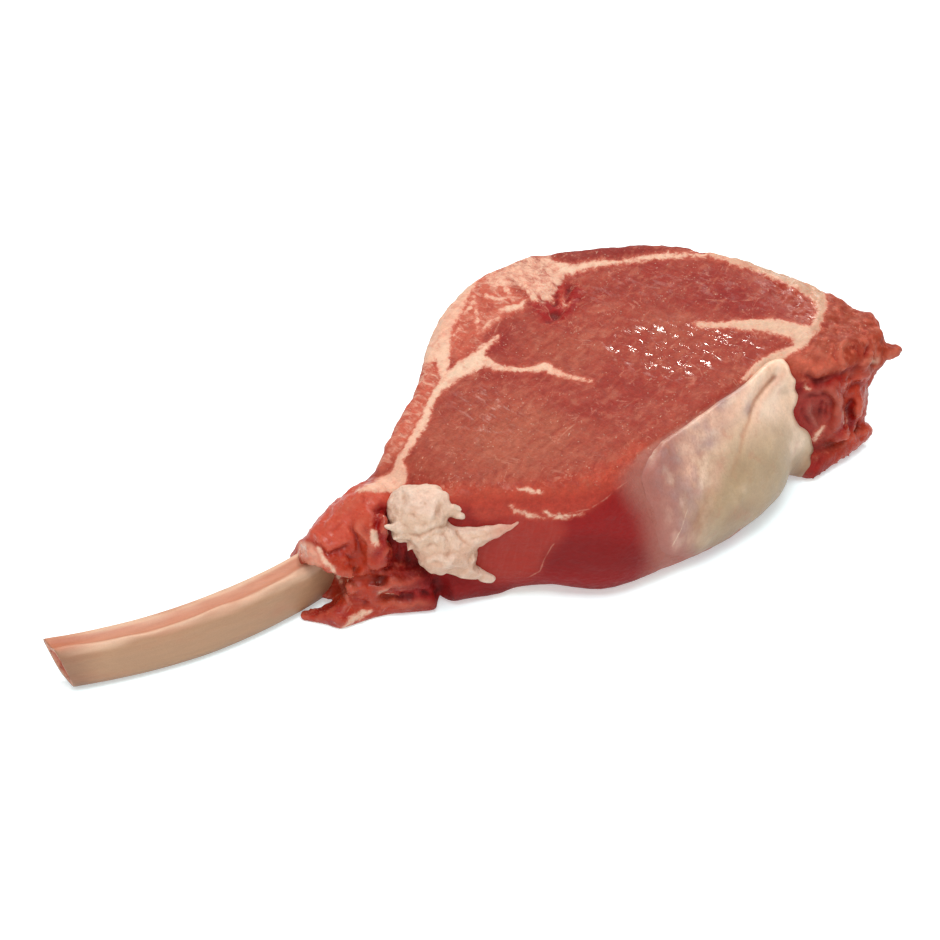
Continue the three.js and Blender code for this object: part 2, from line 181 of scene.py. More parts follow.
def ellipsoid(p, centre, half, turn=0.0):
    """The distance to an ellipsoid with half sizes, turned about Z in degrees."""
    angle = math.radians(turn)
    dx = p[0] - centre[0]
    dy = p[1] - centre[1]
    u = (dx * math.cos(angle) + dy * math.sin(angle)) / half[0]
    v = (dy * math.cos(angle) - dx * math.sin(angle)) / half[1]
    w = (p[2] - centre[2]) / half[2]
    k = np.sqrt(u * u + v * v + w * w)
    slope = np.sqrt((u / half[0]) ** 2 + (v / half[1]) ** 2 + (w / half[2]) ** 2)
    return k * (k - 1) / np.maximum(slope, 1e-6)


def bar(p, a, b, radius_a, radius_b, flat=1.0):
    """The distance to a round bar between two points. flat squashes it along Z."""
    ax, ay, az = b[0] - a[0], b[1] - a[1], (b[2] - a[2]) / flat
    px, py, pz = p[0] - a[0], p[1] - a[1], (p[2] - a[2]) / flat
    t = clamp01((px * ax + py * ay + pz * az) / (ax * ax + ay * ay + az * az))
    gap = np.sqrt((px - ax * t) ** 2 + (py - ay * t) ** 2 + (pz - az * t) ** 2)
    return (gap - (radius_a + (radius_b - radius_a) * t)) * min(flat, 1.0)


def unevenness(p, size, phase):
    """A smooth unevenness between -1 and 1, whose lumps are about one size across."""
    k = 2 * math.pi / (size * 2.4)
    a = np.sin(k * (p[0] + 0.6 * p[1] - 0.3 * p[2]) + phase)
    b = np.sin(k * (-0.5 * p[0] + 1.1 * p[1] + 0.4 * p[2]) + 2.1 * phase + 1)
    c = np.sin(k * (0.4 * p[0] - 0.7 * p[1] + 1.2 * p[2]) + 3.7 * phase + 2)
    return (a * b + b * c + c * a) / 3 + (a + b + c) / 6


def closed_spline(points, steps):
    """A centripetal Catmull-Rom curve through a closed ring of points in the plane."""
    points = np.asarray(points, float)
    count = len(points)
    made = []
    for i in range(count):
        p0, p1, p2, p3 = (points[(i + k - 1) % count] for k in range(4))
        t1 = np.linalg.norm(p1 - p0) ** 0.5
        t2 = t1 + np.linalg.norm(p2 - p1) ** 0.5
        t3 = t2 + np.linalg.norm(p3 - p2) ** 0.5
        for t in np.linspace(t1, t2, steps, endpoint=False):
            a1 = (t1 - t) / t1 * p0 + t / t1 * p1
            a2 = (t2 - t) / (t2 - t1) * p1 + (t - t1) / (t2 - t1) * p2
            a3 = (t3 - t) / (t3 - t2) * p2 + (t - t2) / (t3 - t2) * p3
            b1 = (t2 - t) / t2 * a1 + t / t2 * a2
            b2 = (t3 - t) / (t3 - t1) * a2 + (t - t1) / (t3 - t1) * a3
            made.append((t2 - t) / (t2 - t1) * b1 + (t - t1) / (t2 - t1) * b2)
    return np.array(made)


def outline_distance(outline, x, y):
    """The signed distance from points to a closed outline in the plane, negative inside."""
    nearest = np.full(np.broadcast(x, y).shape, 1e9, np.float32)
    inside = np.zeros(nearest.shape, bool)
    for a, b in zip(outline, np.roll(outline, -1, axis=0)):
        ex, ey = float(b[0] - a[0]), float(b[1] - a[1])
        t = clamp01(((x - a[0]) * ex + (y - a[1]) * ey) / (ex * ex + ey * ey))
        gap = (x - a[0] - t * ex) ** 2 + (y - a[1] - t * ey) ** 2
        nearest = np.minimum(nearest, gap)
        if ey != 0:
            crosses = ((a[1] > y) != (b[1] > y)) & (x < a[0] + ex * (y - a[1]) / ey)
            inside ^= crosses
    nearest = np.sqrt(nearest)
    return np.where(inside, -nearest, nearest).astype(np.float32)


# ---- the meat ----


def rim_outline(kind):
    """The outline at the top (kind None), the belly (2) or the foot (3)."""
    rim = closed_spline([station[:2] for station in RIM_STATIONS], OUTLINE_STEPS)
    if kind is None:
        return rim
    moved = []
    for i, station in enumerate(RIM_STATIONS):
        here = i * OUTLINE_STEPS
        along = rim[(here + 1) % len(rim)] - rim[here - 1]
        along /= np.linalg.norm(along)
        outward = np.array([along[1], -along[0]])
        moved.append(np.array(station[:2]) + outward * station[kind])
    return closed_spline(moved, OUTLINE_STEPS)


def cut_face_height(x, y):
    """The upper cut face is level, but falls away at the far end and at the narrow end."""
    far_end = FAR_END_FALL * smoothstep(x - 0.25 * y, 120, 158)
    narrow_end = NARROW_END_FALL * smoothstep(-x - 0.35 * y, 26, 62)
    return THICKNESS - far_end - narrow_end


def slab_field(p):
    x, y, z = p
    top = outline_distance(rim_outline(None), x, y)
    belly = outline_distance(rim_outline(2), x, y)
    foot = outline_distance(rim_outline(3), x, y)
    up = clamp01((z - BELLY_HEIGHT) / (THICKNESS - BELLY_HEIGHT))
    down = clamp01((BELLY_HEIGHT - z) / BELLY_HEIGHT)
    upper = belly + (top - belly) * up * up * (1.6 - 0.6 * up)
    lower = belly + (foot - belly) * down * down
    side = np.where(z > BELLY_HEIGHT, upper, lower)
    above_face = z - cut_face_height(x, y)
    front = smoothstep(-y, 30, 42) * smoothstep(x, -24, -8) * smoothstep(-x, -48, -34)
    rounding = RIM_ROUNDING + (FRONT_ROUNDING - RIM_ROUNDING) * front
    back_right = smoothstep(x, 86, 112) * smoothstep(y, -8, 8)
    back_left = smoothstep(-x, -52, -40) * smoothstep(y, 20, 34)
    rounding = rounding + (BACK_ROUNDING - RIM_ROUNDING) * np.maximum(back_right, 0.4 * back_left)
    return smooth_max(smooth_max(side, above_face, rounding), -z, FOOT_ROUNDING)


def narrow_end_field(p):
    neck = ellipsoid(p, (-38, -23, 18), (25, 12, 18), 22)
    upper_lobe = bar(p, (-40, -27, 32), (-53.5, -27, 21.8), 8, 7.8)
    fold = bar(p, (-41, -35, 33), (-42, -35.5, 21), 4, 4)
    roll = bar(p, (-49, -33.5, 15), (-31.5, -39, 10.5), 5.5, 5)
    sleeve = bar(p, (-54.5, -21.5, 9.5), (-37, -14, 12), 9.5, 12)
    point = bar(p, (-64, -31, 1), (-54.5, -35.6, 2), 1.6, 4.2)
    middle = bar(p, (-54.5, -36, 2), (-42, -36, 3), 4.2, 4.4)
    right = bar(p, (-42, -36, 3), (-28, -41, 3.4), 4.4, 4.2)
    front = bar(p, (-19, -40, 5), (-8, -42.5, 4.5), 6, 4.6, 0.9)
    flaps = joined(point, [(middle, 1.5), (right, 1.5)])
    web = bar(p, (-57, -33, 3.5), (-46, -35, 8), 2.4, 4.4)
    lobes = [(upper_lobe, 3), (sleeve, 4), (fold, 2), (roll, 2), (web, 2)]
    return joined(neck, lobes + [(np.minimum(flaps, front), 1.6)])


def narrow_end_hollows(p):
    pocket = ellipsoid(p, (-36, -36.5, 31), (3.4, 5, 8), 20)
    crease = bar(p, (-57, -37, 15.5), (-45, -40.5, 17.5), 1.6, 2.4)
    lobe_crease = bar(p, (-47, -38.5, 31), (-49.5, -37, 19), 1.3, 1.5)
    under_lobe_a = bar(p, (-61, -35, 21), (-51, -38, 16.0), 1.4, 1.8)
    under_lobe_b = bar(p, (-51, -38, 16.0), (-42, -40, 15.5), 1.8, 1.6)
    under_fold = bar(p, (-43, -41.5, 19), (-35, -43, 21), 1.4, 2.4)
    recess = ellipsoid(p, (-35, -43.5, 22), (4.5, 4.5, 6.5), 15)
    slit = bar(p, (-48, -43, 7), (-24, -48, 7), 1.6, 3)
    over_bone = bar(p, (-66, -32.5, 13.5), (-58, -32, 13.2), 8.5, 7.6)
    round_bone = smooth_min(over_bone, bar(p, (-66, -31.0, 9.8), (-58.5, -30.5, 9.8), 7.4, 7.0), 2)
    notch = ellipsoid(p, (-24.5, -45.5, 8), (2.6, 5.5, 10))
    creases = [crease, lobe_crease, under_lobe_a, under_lobe_b, under_fold, slit]
    return np.minimum.reduce([pocket, recess, round_bone, notch] + creases)


def far_end_field(p):
    ledge = bar(p, (104, -26, 36.5), (126, -26, 35), 5.5, 5)
    shoulder = ellipsoid(p, (138, -13, 32), (5.5, 5, 5.5))
    point = bar(p, (131, -22, 32), (142, -25, 31.5), 6.0, 1.9, 0.8)
    under_point = bar(p, (134, -24, 28), (127, -26.5, 18), 4.5, 4)
    wall = ellipsoid(p, (111, -26, 17), (17, 9, 19), -20)
    ring = bar(p, (115, -32.5, 31), (117, -34.5, 14), 3.6, 4)
    column = bar(p, (127, -26, 29), (127.5, -27, 8), 4.5, 4.2)
    bottom_flap = bar(p, (107, -36, 4), (130, -29, 4.5), 5, 4, 0.9)
    large = [(point, 4), (shoulder, 3), (wall, 3)]
    return joined(ledge, large + [(ring, 2), (under_point, 2), (column, 2), (bottom_flap, 2)])


def far_end_hollows(p):
    whorl = ellipsoid(p, (108.5, -38.5, 24), (5.5, 5.5, 8), -20)
    crease = bar(p, (105, -40, 33), (127, -34.5, 30.5), 1.6, 2.8)
    groove = bar(p, (121.5, -35, 27), (122, -35.5, 11), 2, 3)
    seam = bar(p, (118, -40, 10), (134, -33, 10.5), 1.6, 2.6)
    return np.minimum.reduce([whorl, crease, groove, seam])


def meat_field(p):
    """The whole meat. The torn ends are lumpy, and the knife left the cut faces flat."""
    x, y, z = p
    d = slab_field(p)
    narrow = (x.ravel() < 14).sum()
    far = (x.ravel() < 86).sum()
    if narrow:
        left = (x[:narrow], y, z)
        d[:narrow] = smooth_min(d[:narrow], narrow_end_field(left), 4)
        d[:narrow] = smooth_max(d[:narrow], -narrow_end_hollows(left), 1.2)
    right = (x[far:], y, z)
    d[far:] = smooth_min(d[far:], far_end_field(right), 4)
    d[far:] = smooth_max(d[far:], -far_end_hollows(right), 1.2)
    torn = np.maximum(smoothstep(-x, 30, 44), smoothstep(x, 104, 120))
    below_face = smoothstep(cut_face_height(x, y) - z, 2, 10)
    above_floor = smoothstep(z, 1, 6)
    lumps = np.maximum(torn, 0.4 * below_face) * above_floor
    d += lumps * unevenness(p, 9, 0.4)
    d += 0.5 * torn * above_floor * unevenness(p, 4, 2.2)
    return np.maximum(d, -z)


# ---- the fat ----


def lump_field(p):
    """The lump on the front corner of the cut face, hanging down over the side in a ragged tail."""
    crown = ellipsoid(p, (-28, -35.5, 36.5), (9.5, 6.5, 6.5), -25)
    brow = bar(p, (-35, -35, 34), (-27, -41, 38), 3.0, 2.6)
    ear = bar(p, (-23, -38.5, 36.0), (-17.6, -41.5, 35.0), 3.0, 2.2)
    body = bar(p, (-27.5, -38.5, 31), (-24.5, -42, 22.5), 6.4, 6.6)
    seat = bar(p, (-24.5, -42, 21.5), (-18.5, -44, 19.5), 6.0, 4.6)
    tail = bar(p, (-20, -43, 25.5), (-4.6, -48, 30.0), 5.0, 1.1)
    tail_tip = bar(p, (-8, -47, 28.8), (-2.6, -49.0, 31.6), 1.6, 0.5)
    toe = bar(p, (-20, -44.5, 16.5), (-10, -47, 9.8), 3.2, 1.3)
    strands = ellipsoid(p, (-34.5, -37.5, 31), (3.2, 2.6, 4.0))
    shred_a = bar(p, (-34, -38.5, 32), (-40.3, -38.8, 35.8), 1.9, 0.5)
    shred_b = bar(p, (-34, -38.5, 30.5), (-37.8, -39.4, 30.2), 1.9, 0.5)
    shred_c = bar(p, (-32, -40, 27.5), (-34.6, -41, 25.0), 1.6, 0.5)
    masses = [(body, 4), (ear, 1.6), (brow, 1), (seat, 3), (tail, 2.5), (tail_tip, 1.2), (toe, 2)]
    frays = [(strands, 1.8), (shred_a, 0.8), (shred_b, 0.8), (shred_c, 0.8)]
    d = joined(crown, masses + frays)
    return d + 0.6 * unevenness(p, 6, 1.3) + 0.25 * unevenness(p, 2.6, 0.2)


# The fat sheet's edge, by where it lies in the photograph. Its right edge is scalloped and stands
# proud; to the left it thins out into the silverskin.
SHEET_EDGE_PX = [
    (783, 357), (789, 365), (792, 374), (797, 380), (796, 388), (799, 396), (797, 404), (794, 411),
    (796, 418), (800, 425), (806, 429), (811, 435), (813, 444), (815, 450), (811, 457), (812, 464),
    (807, 472), (802, 480), (795, 500), (770, 530), (730, 560), (690, 575), (660, 566), (646, 540),
    (638, 510), (632, 480), (640, 456), (654, 444), (668, 435.5), (684, 425), (700, 414),
    (720, 400), (740, 386), (757, 372), (770, 360),
]
# The curved fold that runs down the sheet.
SHEET_FOLD_PX = [
    (774, 377), (764, 388), (755, 400), (751, 410), (749, 420), (745, 430), (742, 441), (740, 452),
]


def polyline_distance(line, px, py):
    """Distance in pixels to an open line, the signed side, the share along it, and its half width."""
    line = np.asarray(line, float)
    if line.shape[1] == 2:
        line = np.hstack([line, np.ones((len(line), 1))])
    lengths = np.linalg.norm(np.diff(line[:, :2], axis=0), axis=1)
    starts = np.concatenate([[0.0], np.cumsum(lengths)])
    best = np.full(px.shape, 1e9, np.float32)
    side = np.zeros(px.shape, np.float32)
    along = np.zeros(px.shape, np.float32)
    width = np.ones(px.shape, np.float32)
    for i in range(len(line) - 1):
        a, b = line[i], line[i + 1]
        ex, ey = b[0] - a[0], b[1] - a[1]
        raw = ((px - a[0]) * ex + (py - a[1]) * ey) / (ex * ex + ey * ey)
        t = clamp01(raw)
        gap = np.hypot(px - a[0] - t * ex, py - a[1] - t * ey)
        nearer = gap < best
        best = np.where(nearer, gap, best)
        lateral = ((px - a[0]) * ey - (py - a[1]) * ex) / lengths[i]
        side = np.where(nearer, lateral, side)
        here = (starts[i] + t * lengths[i]) / starts[-1]
        along = np.where(nearer, here, along)
        width = np.where(nearer, a[2] + (b[2] - a[2]) * t, width)
    return best, side, along, width


def sheet_field(p, meat):
    """A sheet that stands proud of the meat and is set into it. It follows the meat's own field."""
    px, py = pixels_of(*p)
    edge = closed_spline(SHEET_EDGE_PX, 4)
    inside_px = -outline_distance(edge, px, py)
    rim_line = 437 - 0.69 * (px - 668)
    steep = np.maximum(smoothstep(px, 740, 775), smoothstep(rim_line + 34 - py, 0, 14))
    steep = steep * smoothstep(px, 640, 668)
    ramp_px = 44 - 41 * steep
    rise = smoothstep(inside_px, 0, ramp_px) ** 0.6
    fold, side, along, _ = polyline_distance(SHEET_FOLD_PX, px, py)
    crease = np.exp(-(fold / 3.0) ** 2) * (1 - 0.6 * along)
    roll = np.exp(-((side - 7.0) / 6.0) ** 2) * np.exp(-(np.maximum(fold - 16, 0) / 6) ** 2)
    low_down = 0.35 + 0.65 * smoothstep(p[2], 2, 16)
    proud = -0.9 + (SHEET_PROUD * low_down + 0.9) * rise
    proud = proud + rise * (1.0 * roll * (1 - along) - 0.6 * crease)
    skin = meat - proud
    back = -(meat + SHEET_DEPTH)
    edge_mm = -(inside_px + 4) * 0.36
    d = smooth_max(skin, back, 0.8)
    d = smooth_max(d, edge_mm, 0.8)
    return np.maximum(np.maximum(d, SHEET_LOWEST - p[2]), p[2] - SHEET_HIGHEST)


# ---- from fields to meshes ----


def grid(spans):
    """The coordinates of a box of grid points, as three arrays that broadcast together."""
    axes = []
    for parts in spans:
        places = [np.arange(a, b, step) for a, b, step in parts]
        places.append([parts[-1][1]])
        axes.append(np.concatenate(places).astype(np.float32))
    x, y, z = axes
    return x[:, None, None], y[None, :, None], z[None, None, :]


CORNERS = [(i, j, k) for i in (0, 1) for j in (0, 1) for k in (0, 1)]
EDGES = [
    (a, b)
    for a in range(8)
    for b in range(a + 1, 8)
    if sum(abs(u - v) for u, v in zip(CORNERS[a], CORNERS[b])) == 1
]


def surface_nets(field, p):
    """A closed mesh of quads where the field over the grid p is zero: points and quads."""
    inside = field < 0
    shape = np.array(field.shape)
    count = np.zeros(shape - 1, np.uint8)
    for i, j, k in CORNERS:
        count += inside[i:shape[0] - 1 + i, j:shape[1] - 1 + j, k:shape[2] - 1 + k]
    cells = np.argwhere((count > 0) & (count < 8))
    values = np.stack([field[tuple((cells + c).T)] for c in CORNERS], axis=1)
    total = np.zeros((len(cells), 3), np.float64)
    number = np.zeros(len(cells), np.float64)
    for a, b in EDGES:
        va, vb = values[:, a].astype(np.float64), values[:, b].astype(np.float64)
        cut = (va < 0) != (vb < 0)
        t = np.where(cut, va / np.where(cut, va - vb, 1.0), 0.0)
        start = np.array(CORNERS[a], float)
        step = np.array(CORNERS[b], float) - start
        total += np.where(cut[:, None], start + t[:, None] * step, 0.0)
        number += cut
    places = cells + total / number[:, None]
    axes = [axis.ravel() for axis in p]
    points = np.stack([
        np.interp(places[:, i], np.arange(len(axis)), axis) for i, axis in enumerate(axes)
    ], axis=1)
    index = np.full(shape - 1, -1, np.int64)
    index[tuple(cells.T)] = np.arange(len(cells))
    quads = []
    for axis in range(3):
        u, v = (axis + 1) % 3, (axis + 2) % 3
        first = np.take(inside, np.arange(shape[axis] - 1), axis=axis)
        second = np.take(inside, np.arange(1, shape[axis]), axis=axis)
        at = np.argwhere(first != second)
        at = at[(at[:, u] > 0) & (at[:, v] > 0)]
        at = at[(at[:, u] < shape[u] - 1) & (at[:, v] < shape[v] - 1)]
        du = np.eye(3, dtype=int)[u]
        dv = np.eye(3, dtype=int)[v]
        ring = [index[tuple((at - s * du - t * dv).T)] for s, t in ((0, 0), (1, 0), (1, 1), (0, 1))]
        ring = np.stack(ring, axis=1)
        solid_first = first[tuple(at.T)]
        ring = np.where(solid_first[:, None], ring, ring[:, ::-1])
        quads.append(ring)
    return points, np.concatenate(quads)


def normals_of(points, quads):
    """Unit normals at the points of a mesh, weighted by the area of the quads round them."""
    across = points[quads[:, 2]] - points[quads[:, 0]]
    along = points[quads[:, 3]] - points[quads[:, 1]]
    faces = np.cross(across, along)
    made = np.zeros_like(points)
    for corner in range(4):
        for axis in range(3):
            made[:, axis] += np.bincount(quads[:, corner], faces[:, axis], len(points))
    return made / np.maximum(np.linalg.norm(made, axis=1, keepdims=True), 1e-9)


class Rings:
    """The neighbours of each point of a mesh, for smoothing values over it."""

    def __init__(self, quads, count):
        pairs = np.concatenate([quads[:, [i, (i + 1) % 4]] for i in range(4)])
        self.a, self.b = pairs[:, 0], pairs[:, 1]
        self.count = count
        self.degree = np.maximum(np.bincount(self.a, minlength=count), 1)
        self.degree = self.degree + np.bincount(self.b, minlength=count)

    def average(self, values):
        total = np.bincount(self.a, values[self.b], self.count)
        total = total + np.bincount(self.b, values[self.a], self.count)
        return total / self.degree

    def smooth(self, values, times):
        for _ in range(times):
            if values.ndim == 2:
                values = np.stack([self.average(values[:, i]) for i in range(3)], axis=1)
            else:
                values = self.average(values)
        return values


class Noise:
    """Seeded value noise in space, between about -1 and 1."""

    SIDE = 32

    def __init__(self, seed):
        self.table = np.random.default_rng(seed).uniform(-1, 1, (self.SIDE,) * 3)

    def single(self, points, size):
        q = points / size
        cell = np.floor(q).astype(int)
        f = q - cell
        f = f * f * f * (f * (f * 6 - 15) + 10)
        total = 0.0
        for i, j, k in CORNERS:
            corner = self.table[tuple(((cell + (i, j, k)) % self.SIDE).T)]
            share = np.where(i, f[:, 0], 1 - f[:, 0]) * np.where(j, f[:, 1], 1 - f[:, 1])
            total = total + corner * share * np.where(k, f[:, 2], 1 - f[:, 2])
        return total

    def __call__(self, points, size, octaves=3, stretch=(1.0, 1.0, 1.0)):
        points = points / np.array(stretch)
        turn = np.array([[0.36, 0.48, -0.8], [-0.8, 0.6, 0.0], [0.48, 0.64, 0.6]])
        total, weight, share = 0.0, 0.0, 1.0
        for _ in range(octaves):
            points = points @ turn + 7.3
            total = total + self.single(points, size) * share
            weight += share
            share *= 0.5
            size *= 0.5
        return total / weight


def make_mesh(name, points_mm, quads):
    """A smooth-shaded object from points of the form frame."""
    placed = (points_mm + SHIFT_MM) / 1000
    mesh = bpy.data.meshes.new(name)
    mesh.vertices.add(len(placed))
    mesh.vertices.foreach_set("co", placed.astype(np.float32).ravel())
    mesh.loops.add(quads.size)
    mesh.loops.foreach_set("vertex_index", quads.astype(np.int32).ravel())
    mesh.polygons.add(len(quads))
    starts = np.arange(len(quads), dtype=np.int32) * quads.shape[1]
    mesh.polygons.foreach_set("loop_start", starts)
    mesh.polygons.foreach_set("use_smooth", np.ones(len(quads), bool))
    mesh.update(calc_edges=True)
    mesh.validate()
    piece = bpy.data.objects.new(name, mesh)
    bpy.context.scene.collection.objects.link(piece)
    return piece


def set_value(piece, name, values):
    layer = piece.data.attributes.new(name, "FLOAT", "POINT")
    layer.data.foreach_set("value", np.asarray(values, np.float32))


def set_colour(piece, name, colours):
    layer = piece.data.attributes.new(name, "FLOAT_COLOR", "POINT")
    full = np.hstack([colours, np.ones((len(colours), 1))])
    layer.data.foreach_set("color", full.astype(np.float32).ravel())


def largest_body(points, quads):
    """Only the largest connected body of a mesh, without crumbs."""
    group = np.arange(len(points))
    while True:
        lowest = group[quads].min(axis=1)
        new = group.copy()
        for corner in range(4):
            np.minimum.at(new, quads[:, corner], lowest)
        new = new[new]
        if np.array_equal(new, group):
            break
        group = new
    kept_group = np.bincount(group).argmax()
    kept = group == kept_group
    renumber = np.cumsum(kept) - 1
    return points[kept], renumber[quads[kept[quads[:, 0]]]]


# ---- tones, as they are seen in the photograph (red, green, blue from 0 to 255) ----


LIGHT_ON_TOP = 1.30  # how bright a white surface would be on the cut face
LIGHT_ON_SIDE = 0.95  # and on the front side
VEIL = 0.026  # the gloss that lies over every colour


def tone(red, green, blue, light=LIGHT_ON_TOP):
    """The colour of a surface that is seen as red, green, blue under a light."""
    seen = np.array([red, green, blue]) / 255
    linear = np.where(seen <= 0.04045, seen / 12.92, ((seen + 0.055) / 1.055) ** 2.4)
    return np.clip((linear - VEIL) / light, 0.004, 0.92)


ROSE = tone(164, 74, 63)
ROSE_DEEP = tone(144, 50, 42)
ROSE_PALE = tone(192, 112, 92)
ROSE_BEIGE = tone(174, 98, 79)
SALMON = tone(196, 88, 70)
PINK_FLESH = tone(210, 108, 88)
DARK_RED = tone(96, 20, 15, LIGHT_ON_SIDE)
BELLY_RED = tone(134, 32, 27, LIGHT_ON_SIDE)
FILM_PINK = tone(160, 68, 60, LIGHT_ON_SIDE)
MAUVE = tone(158, 106, 96, LIGHT_ON_SIDE)
TORN_RED = tone(158, 64, 52, LIGHT_ON_SIDE)
TORN_PALE = tone(198, 110, 90, 1.15)
LIP_SALMON = tone(204, 110, 90, 0.95)
LOBE_RED = tone(210, 94, 76)
# A darker red that carries painted shade where it lies in creases and recesses.
CREASE_RED = tone(138, 32, 24, LIGHT_ON_SIDE)
BROWNISH = tone(150, 66, 48)
FAT_CREAM = tone(238, 203, 178)
FAT_PINK = tone(236, 168, 144)
FAT_SHADE = tone(206, 158, 132)
LUMP_CREAM = tone(230, 190, 164)
LUMP_LOW = tone(212, 168, 144, 1.1)
LUMP_HIGHLIGHT_WHITE = tone(244, 216, 198)
RIM_TAN = tone(200, 154, 128)
UNDER_RED = tone(142, 36, 28, LIGHT_ON_SIDE)
SHEET_CREAM = tone(238, 202, 175, 1.15)
SHEET_LOW_SHADE = tone(172, 146, 116, 1.10)
SHEET_PEACH = tone(226, 180, 157, 1.12)
SHEET_BROWN_AND_FOOT_SHADE = tone(138, 100, 76, 1.05)
SHEET_SHADOW = tone(186, 128, 98, 1.10)
SHEET_GREY = tone(172, 142, 140, 1.15)
SHEET_PALE_AND_HIGHLIGHT = tone(246, 218, 196, 1.10)
BONE_TOP = tone(222, 174, 148)
BONE_SIDE = tone(168, 130, 103, LIGHT_ON_SIDE)
BONE_RIDGE_HIGHLIGHT = tone(236, 198, 170)
BONE_RED = tone(198, 122, 94)
MARROW = tone(170, 84, 68, LIGHT_ON_SIDE)
SAWN_CREAM = tone(186, 126, 98, LIGHT_ON_SIDE)

# ---- where the marks lie in the photograph ----
# Lines are (x, y, half width) in pixels, regions are closed outlines in pixels.

MAIN_SEAM = [
    (397, 465, 2.5), (405, 452, 3.0), (411, 442, 3.5), (417, 433, 4.0), (423, 424, 4.5),
    (429, 407, 3.5), (437, 391, 3.5), (447, 381, 6.0), (462, 369, 8.0), (476, 362, 8.5),
    (484, 362, 5.5), (494, 366, 2.8), (507, 369, 2.2), (523, 370, 1.8), (535, 369, 2.2),
    (545, 366.5, 4.0), (553, 371, 3.0), (564, 375.5, 1.9), (576, 379, 1.3), (592, 381, 0.5),
]
SEAM_OFFSHOOT = [(476, 358, 4.0), (484, 350, 2.4), (491, 343, 1.8), (498, 336, 0.4)]
TOP_CREAM_STRIP = [
    (552, 266, 3.5), (560, 268.5, 5.5), (571, 270, 4.5), (584, 267, 3.0), (600, 264, 2.4),
    (620, 262.5, 1.2), (637, 259.5, 2.0), (655, 256.8, 2.5), (674, 256, 2.2), (692, 255, 1.3),
    (706, 256, 1.6),
]
WHITE_BIT_LEFT = [(502, 310, 2.5), (511, 308.5, 3.2), (520, 307, 2.8), (525, 300, 0.8)]
WHITE_TICK_A = [(530, 292, 1.2), (535, 297, 1.6), (538, 301, 0.8)]
WHITE_TICK_B = [(546, 289, 1.0), (550, 294, 1.6), (553, 298, 0.8)]
WHITE_TICK_C = [(563, 297, 0.9), (566, 304, 1.4), (569, 301, 0.6)]
RIM_BIT_LEFT = [(510, 505, 0.4), (516, 511, 2.2), (527, 514, 1.5), (545, 519, 0.2)]
RIM_BIT_MIDDLE = [(545, 511, 0.4), (552, 516, 2.0), (565, 517, 1.2), (582, 514, 0.2)]
FRONT_BIT = [(518, 489, 0.2), (527, 490, 1.5), (536, 492, 1.7), (544, 493, 0.2)]
CUFF_BIT = [(343, 628, 1.0), (352, 619, 2.8), (362, 614, 3.0), (371, 612, 1.2)]
FOLD_BIT = [(372, 532, 2.0), (375, 539, 3.2), (378, 545, 1.6)]
CUFF_LINE = [(317, 548, 1.4), (325, 561, 2.0), (333, 569, 2.2), (340, 582, 1.4)]
LEFT_STREAKS = [
    [(473, 298, 1.4), (477, 315, 1.2), (478, 335, 0.6)],
    [(482, 332, 0.8), (490, 322, 1.4), (500, 318, 1.0)],
    [(465, 313, 1.2), (472, 306, 1.6), (474, 296, 1.0)],
    [(453, 336, 1.2), (460, 329, 0.8)],
    [(477, 350, 0.8), (485, 345, 1.3), (497, 342, 0.7)],
    [(520, 272, 2.0), (525, 285, 2.6), (533, 299, 1.0)],
    [(532, 276, 1.6), (541, 290, 2.0), (551, 298, 0.8)],
    [(545, 276, 1.4), (553, 288, 1.2)],
    [(487, 296, 2.0), (497, 300, 1.6), (506, 298, 1.0)],
    [(500, 280, 2.4), (508, 292, 2.0), (513, 300, 0.8)],
]
FAT_LINES = [
    MAIN_SEAM, SEAM_OFFSHOOT, TOP_CREAM_STRIP, WHITE_BIT_LEFT, WHITE_TICK_A, WHITE_TICK_B,
    WHITE_TICK_C, RIM_BIT_LEFT, RIM_BIT_MIDDLE, FRONT_BIT, CUFF_BIT, FOLD_BIT, CUFF_LINE,
    *LEFT_STREAKS,
]
# Red streaks that run through the marbled corner.
RED_STREAKS = [
    [(527, 266, 1.0), (532, 274, 1.4), (534, 282, 0.8)],
    [(537, 261, 1.2), (543, 271, 1.8), (547, 279, 1.0)],
    [(549, 263, 1.4), (554, 270, 1.8), (556, 277, 1.0)],
    [(541, 258, 0.8), (549, 260, 1.2), (556, 258, 0.8)],
    [(489, 272, 0.8), (493, 282, 1.6), (497, 291, 1.2)],
    [(505, 270, 0.8), (510, 279, 1.6), (514, 288, 1.4)],
    [(516, 262, 0.6), (520, 268, 1.0)],
    [(478, 280, 1.0), (483, 290, 1.6), (482, 300, 1.4)],
]

RIM_FAT_LEFT = [
    (412, 338), (420, 318), (434, 298), (448, 282), (464, 270), (484, 262), (484, 272), (474, 288),
    (466, 302), (460, 316), (452, 328), (450, 346), (449, 362), (446, 380), (439, 373), (436, 360),
    (416, 364),
]
RIM_FAT_RIGHT = [
    (708, 240), (730, 240), (762, 246), (780, 256), (796, 264), (808, 272), (818, 282),
    (824, 293), (827, 304), (824, 315), (820, 327), (814, 333), (810, 328), (814.5, 320),
    (816.5, 309), (811, 299), (801, 292), (786, 284), (768, 276.5), (750, 269.5), (734, 266.5),
    (722, 261.5), (707, 256),
]
JUNCTION = [
    (693, 323), (718, 322.5), (742, 320.5), (768, 319.5), (790, 322), (804, 326), (820, 326),
    (814, 336), (804, 347), (800, 349), (784, 360), (768, 367), (752, 377), (741, 382),
    (750, 368.5), (766, 357), (782, 350), (793, 345.5), (789, 338), (778, 335), (762, 332),
    (738, 328.5), (715, 327.5), (697, 327),
]
PINK_FLAP = [
    (398, 456), (404, 464), (407, 474), (404, 486), (390, 492), (372, 492), (356, 492),
    (370, 484), (386, 476), (394, 468),
]
FAT_REGIONS = [RIM_FAT_LEFT, RIM_FAT_RIGHT, JUNCTION, PINK_FLAP]

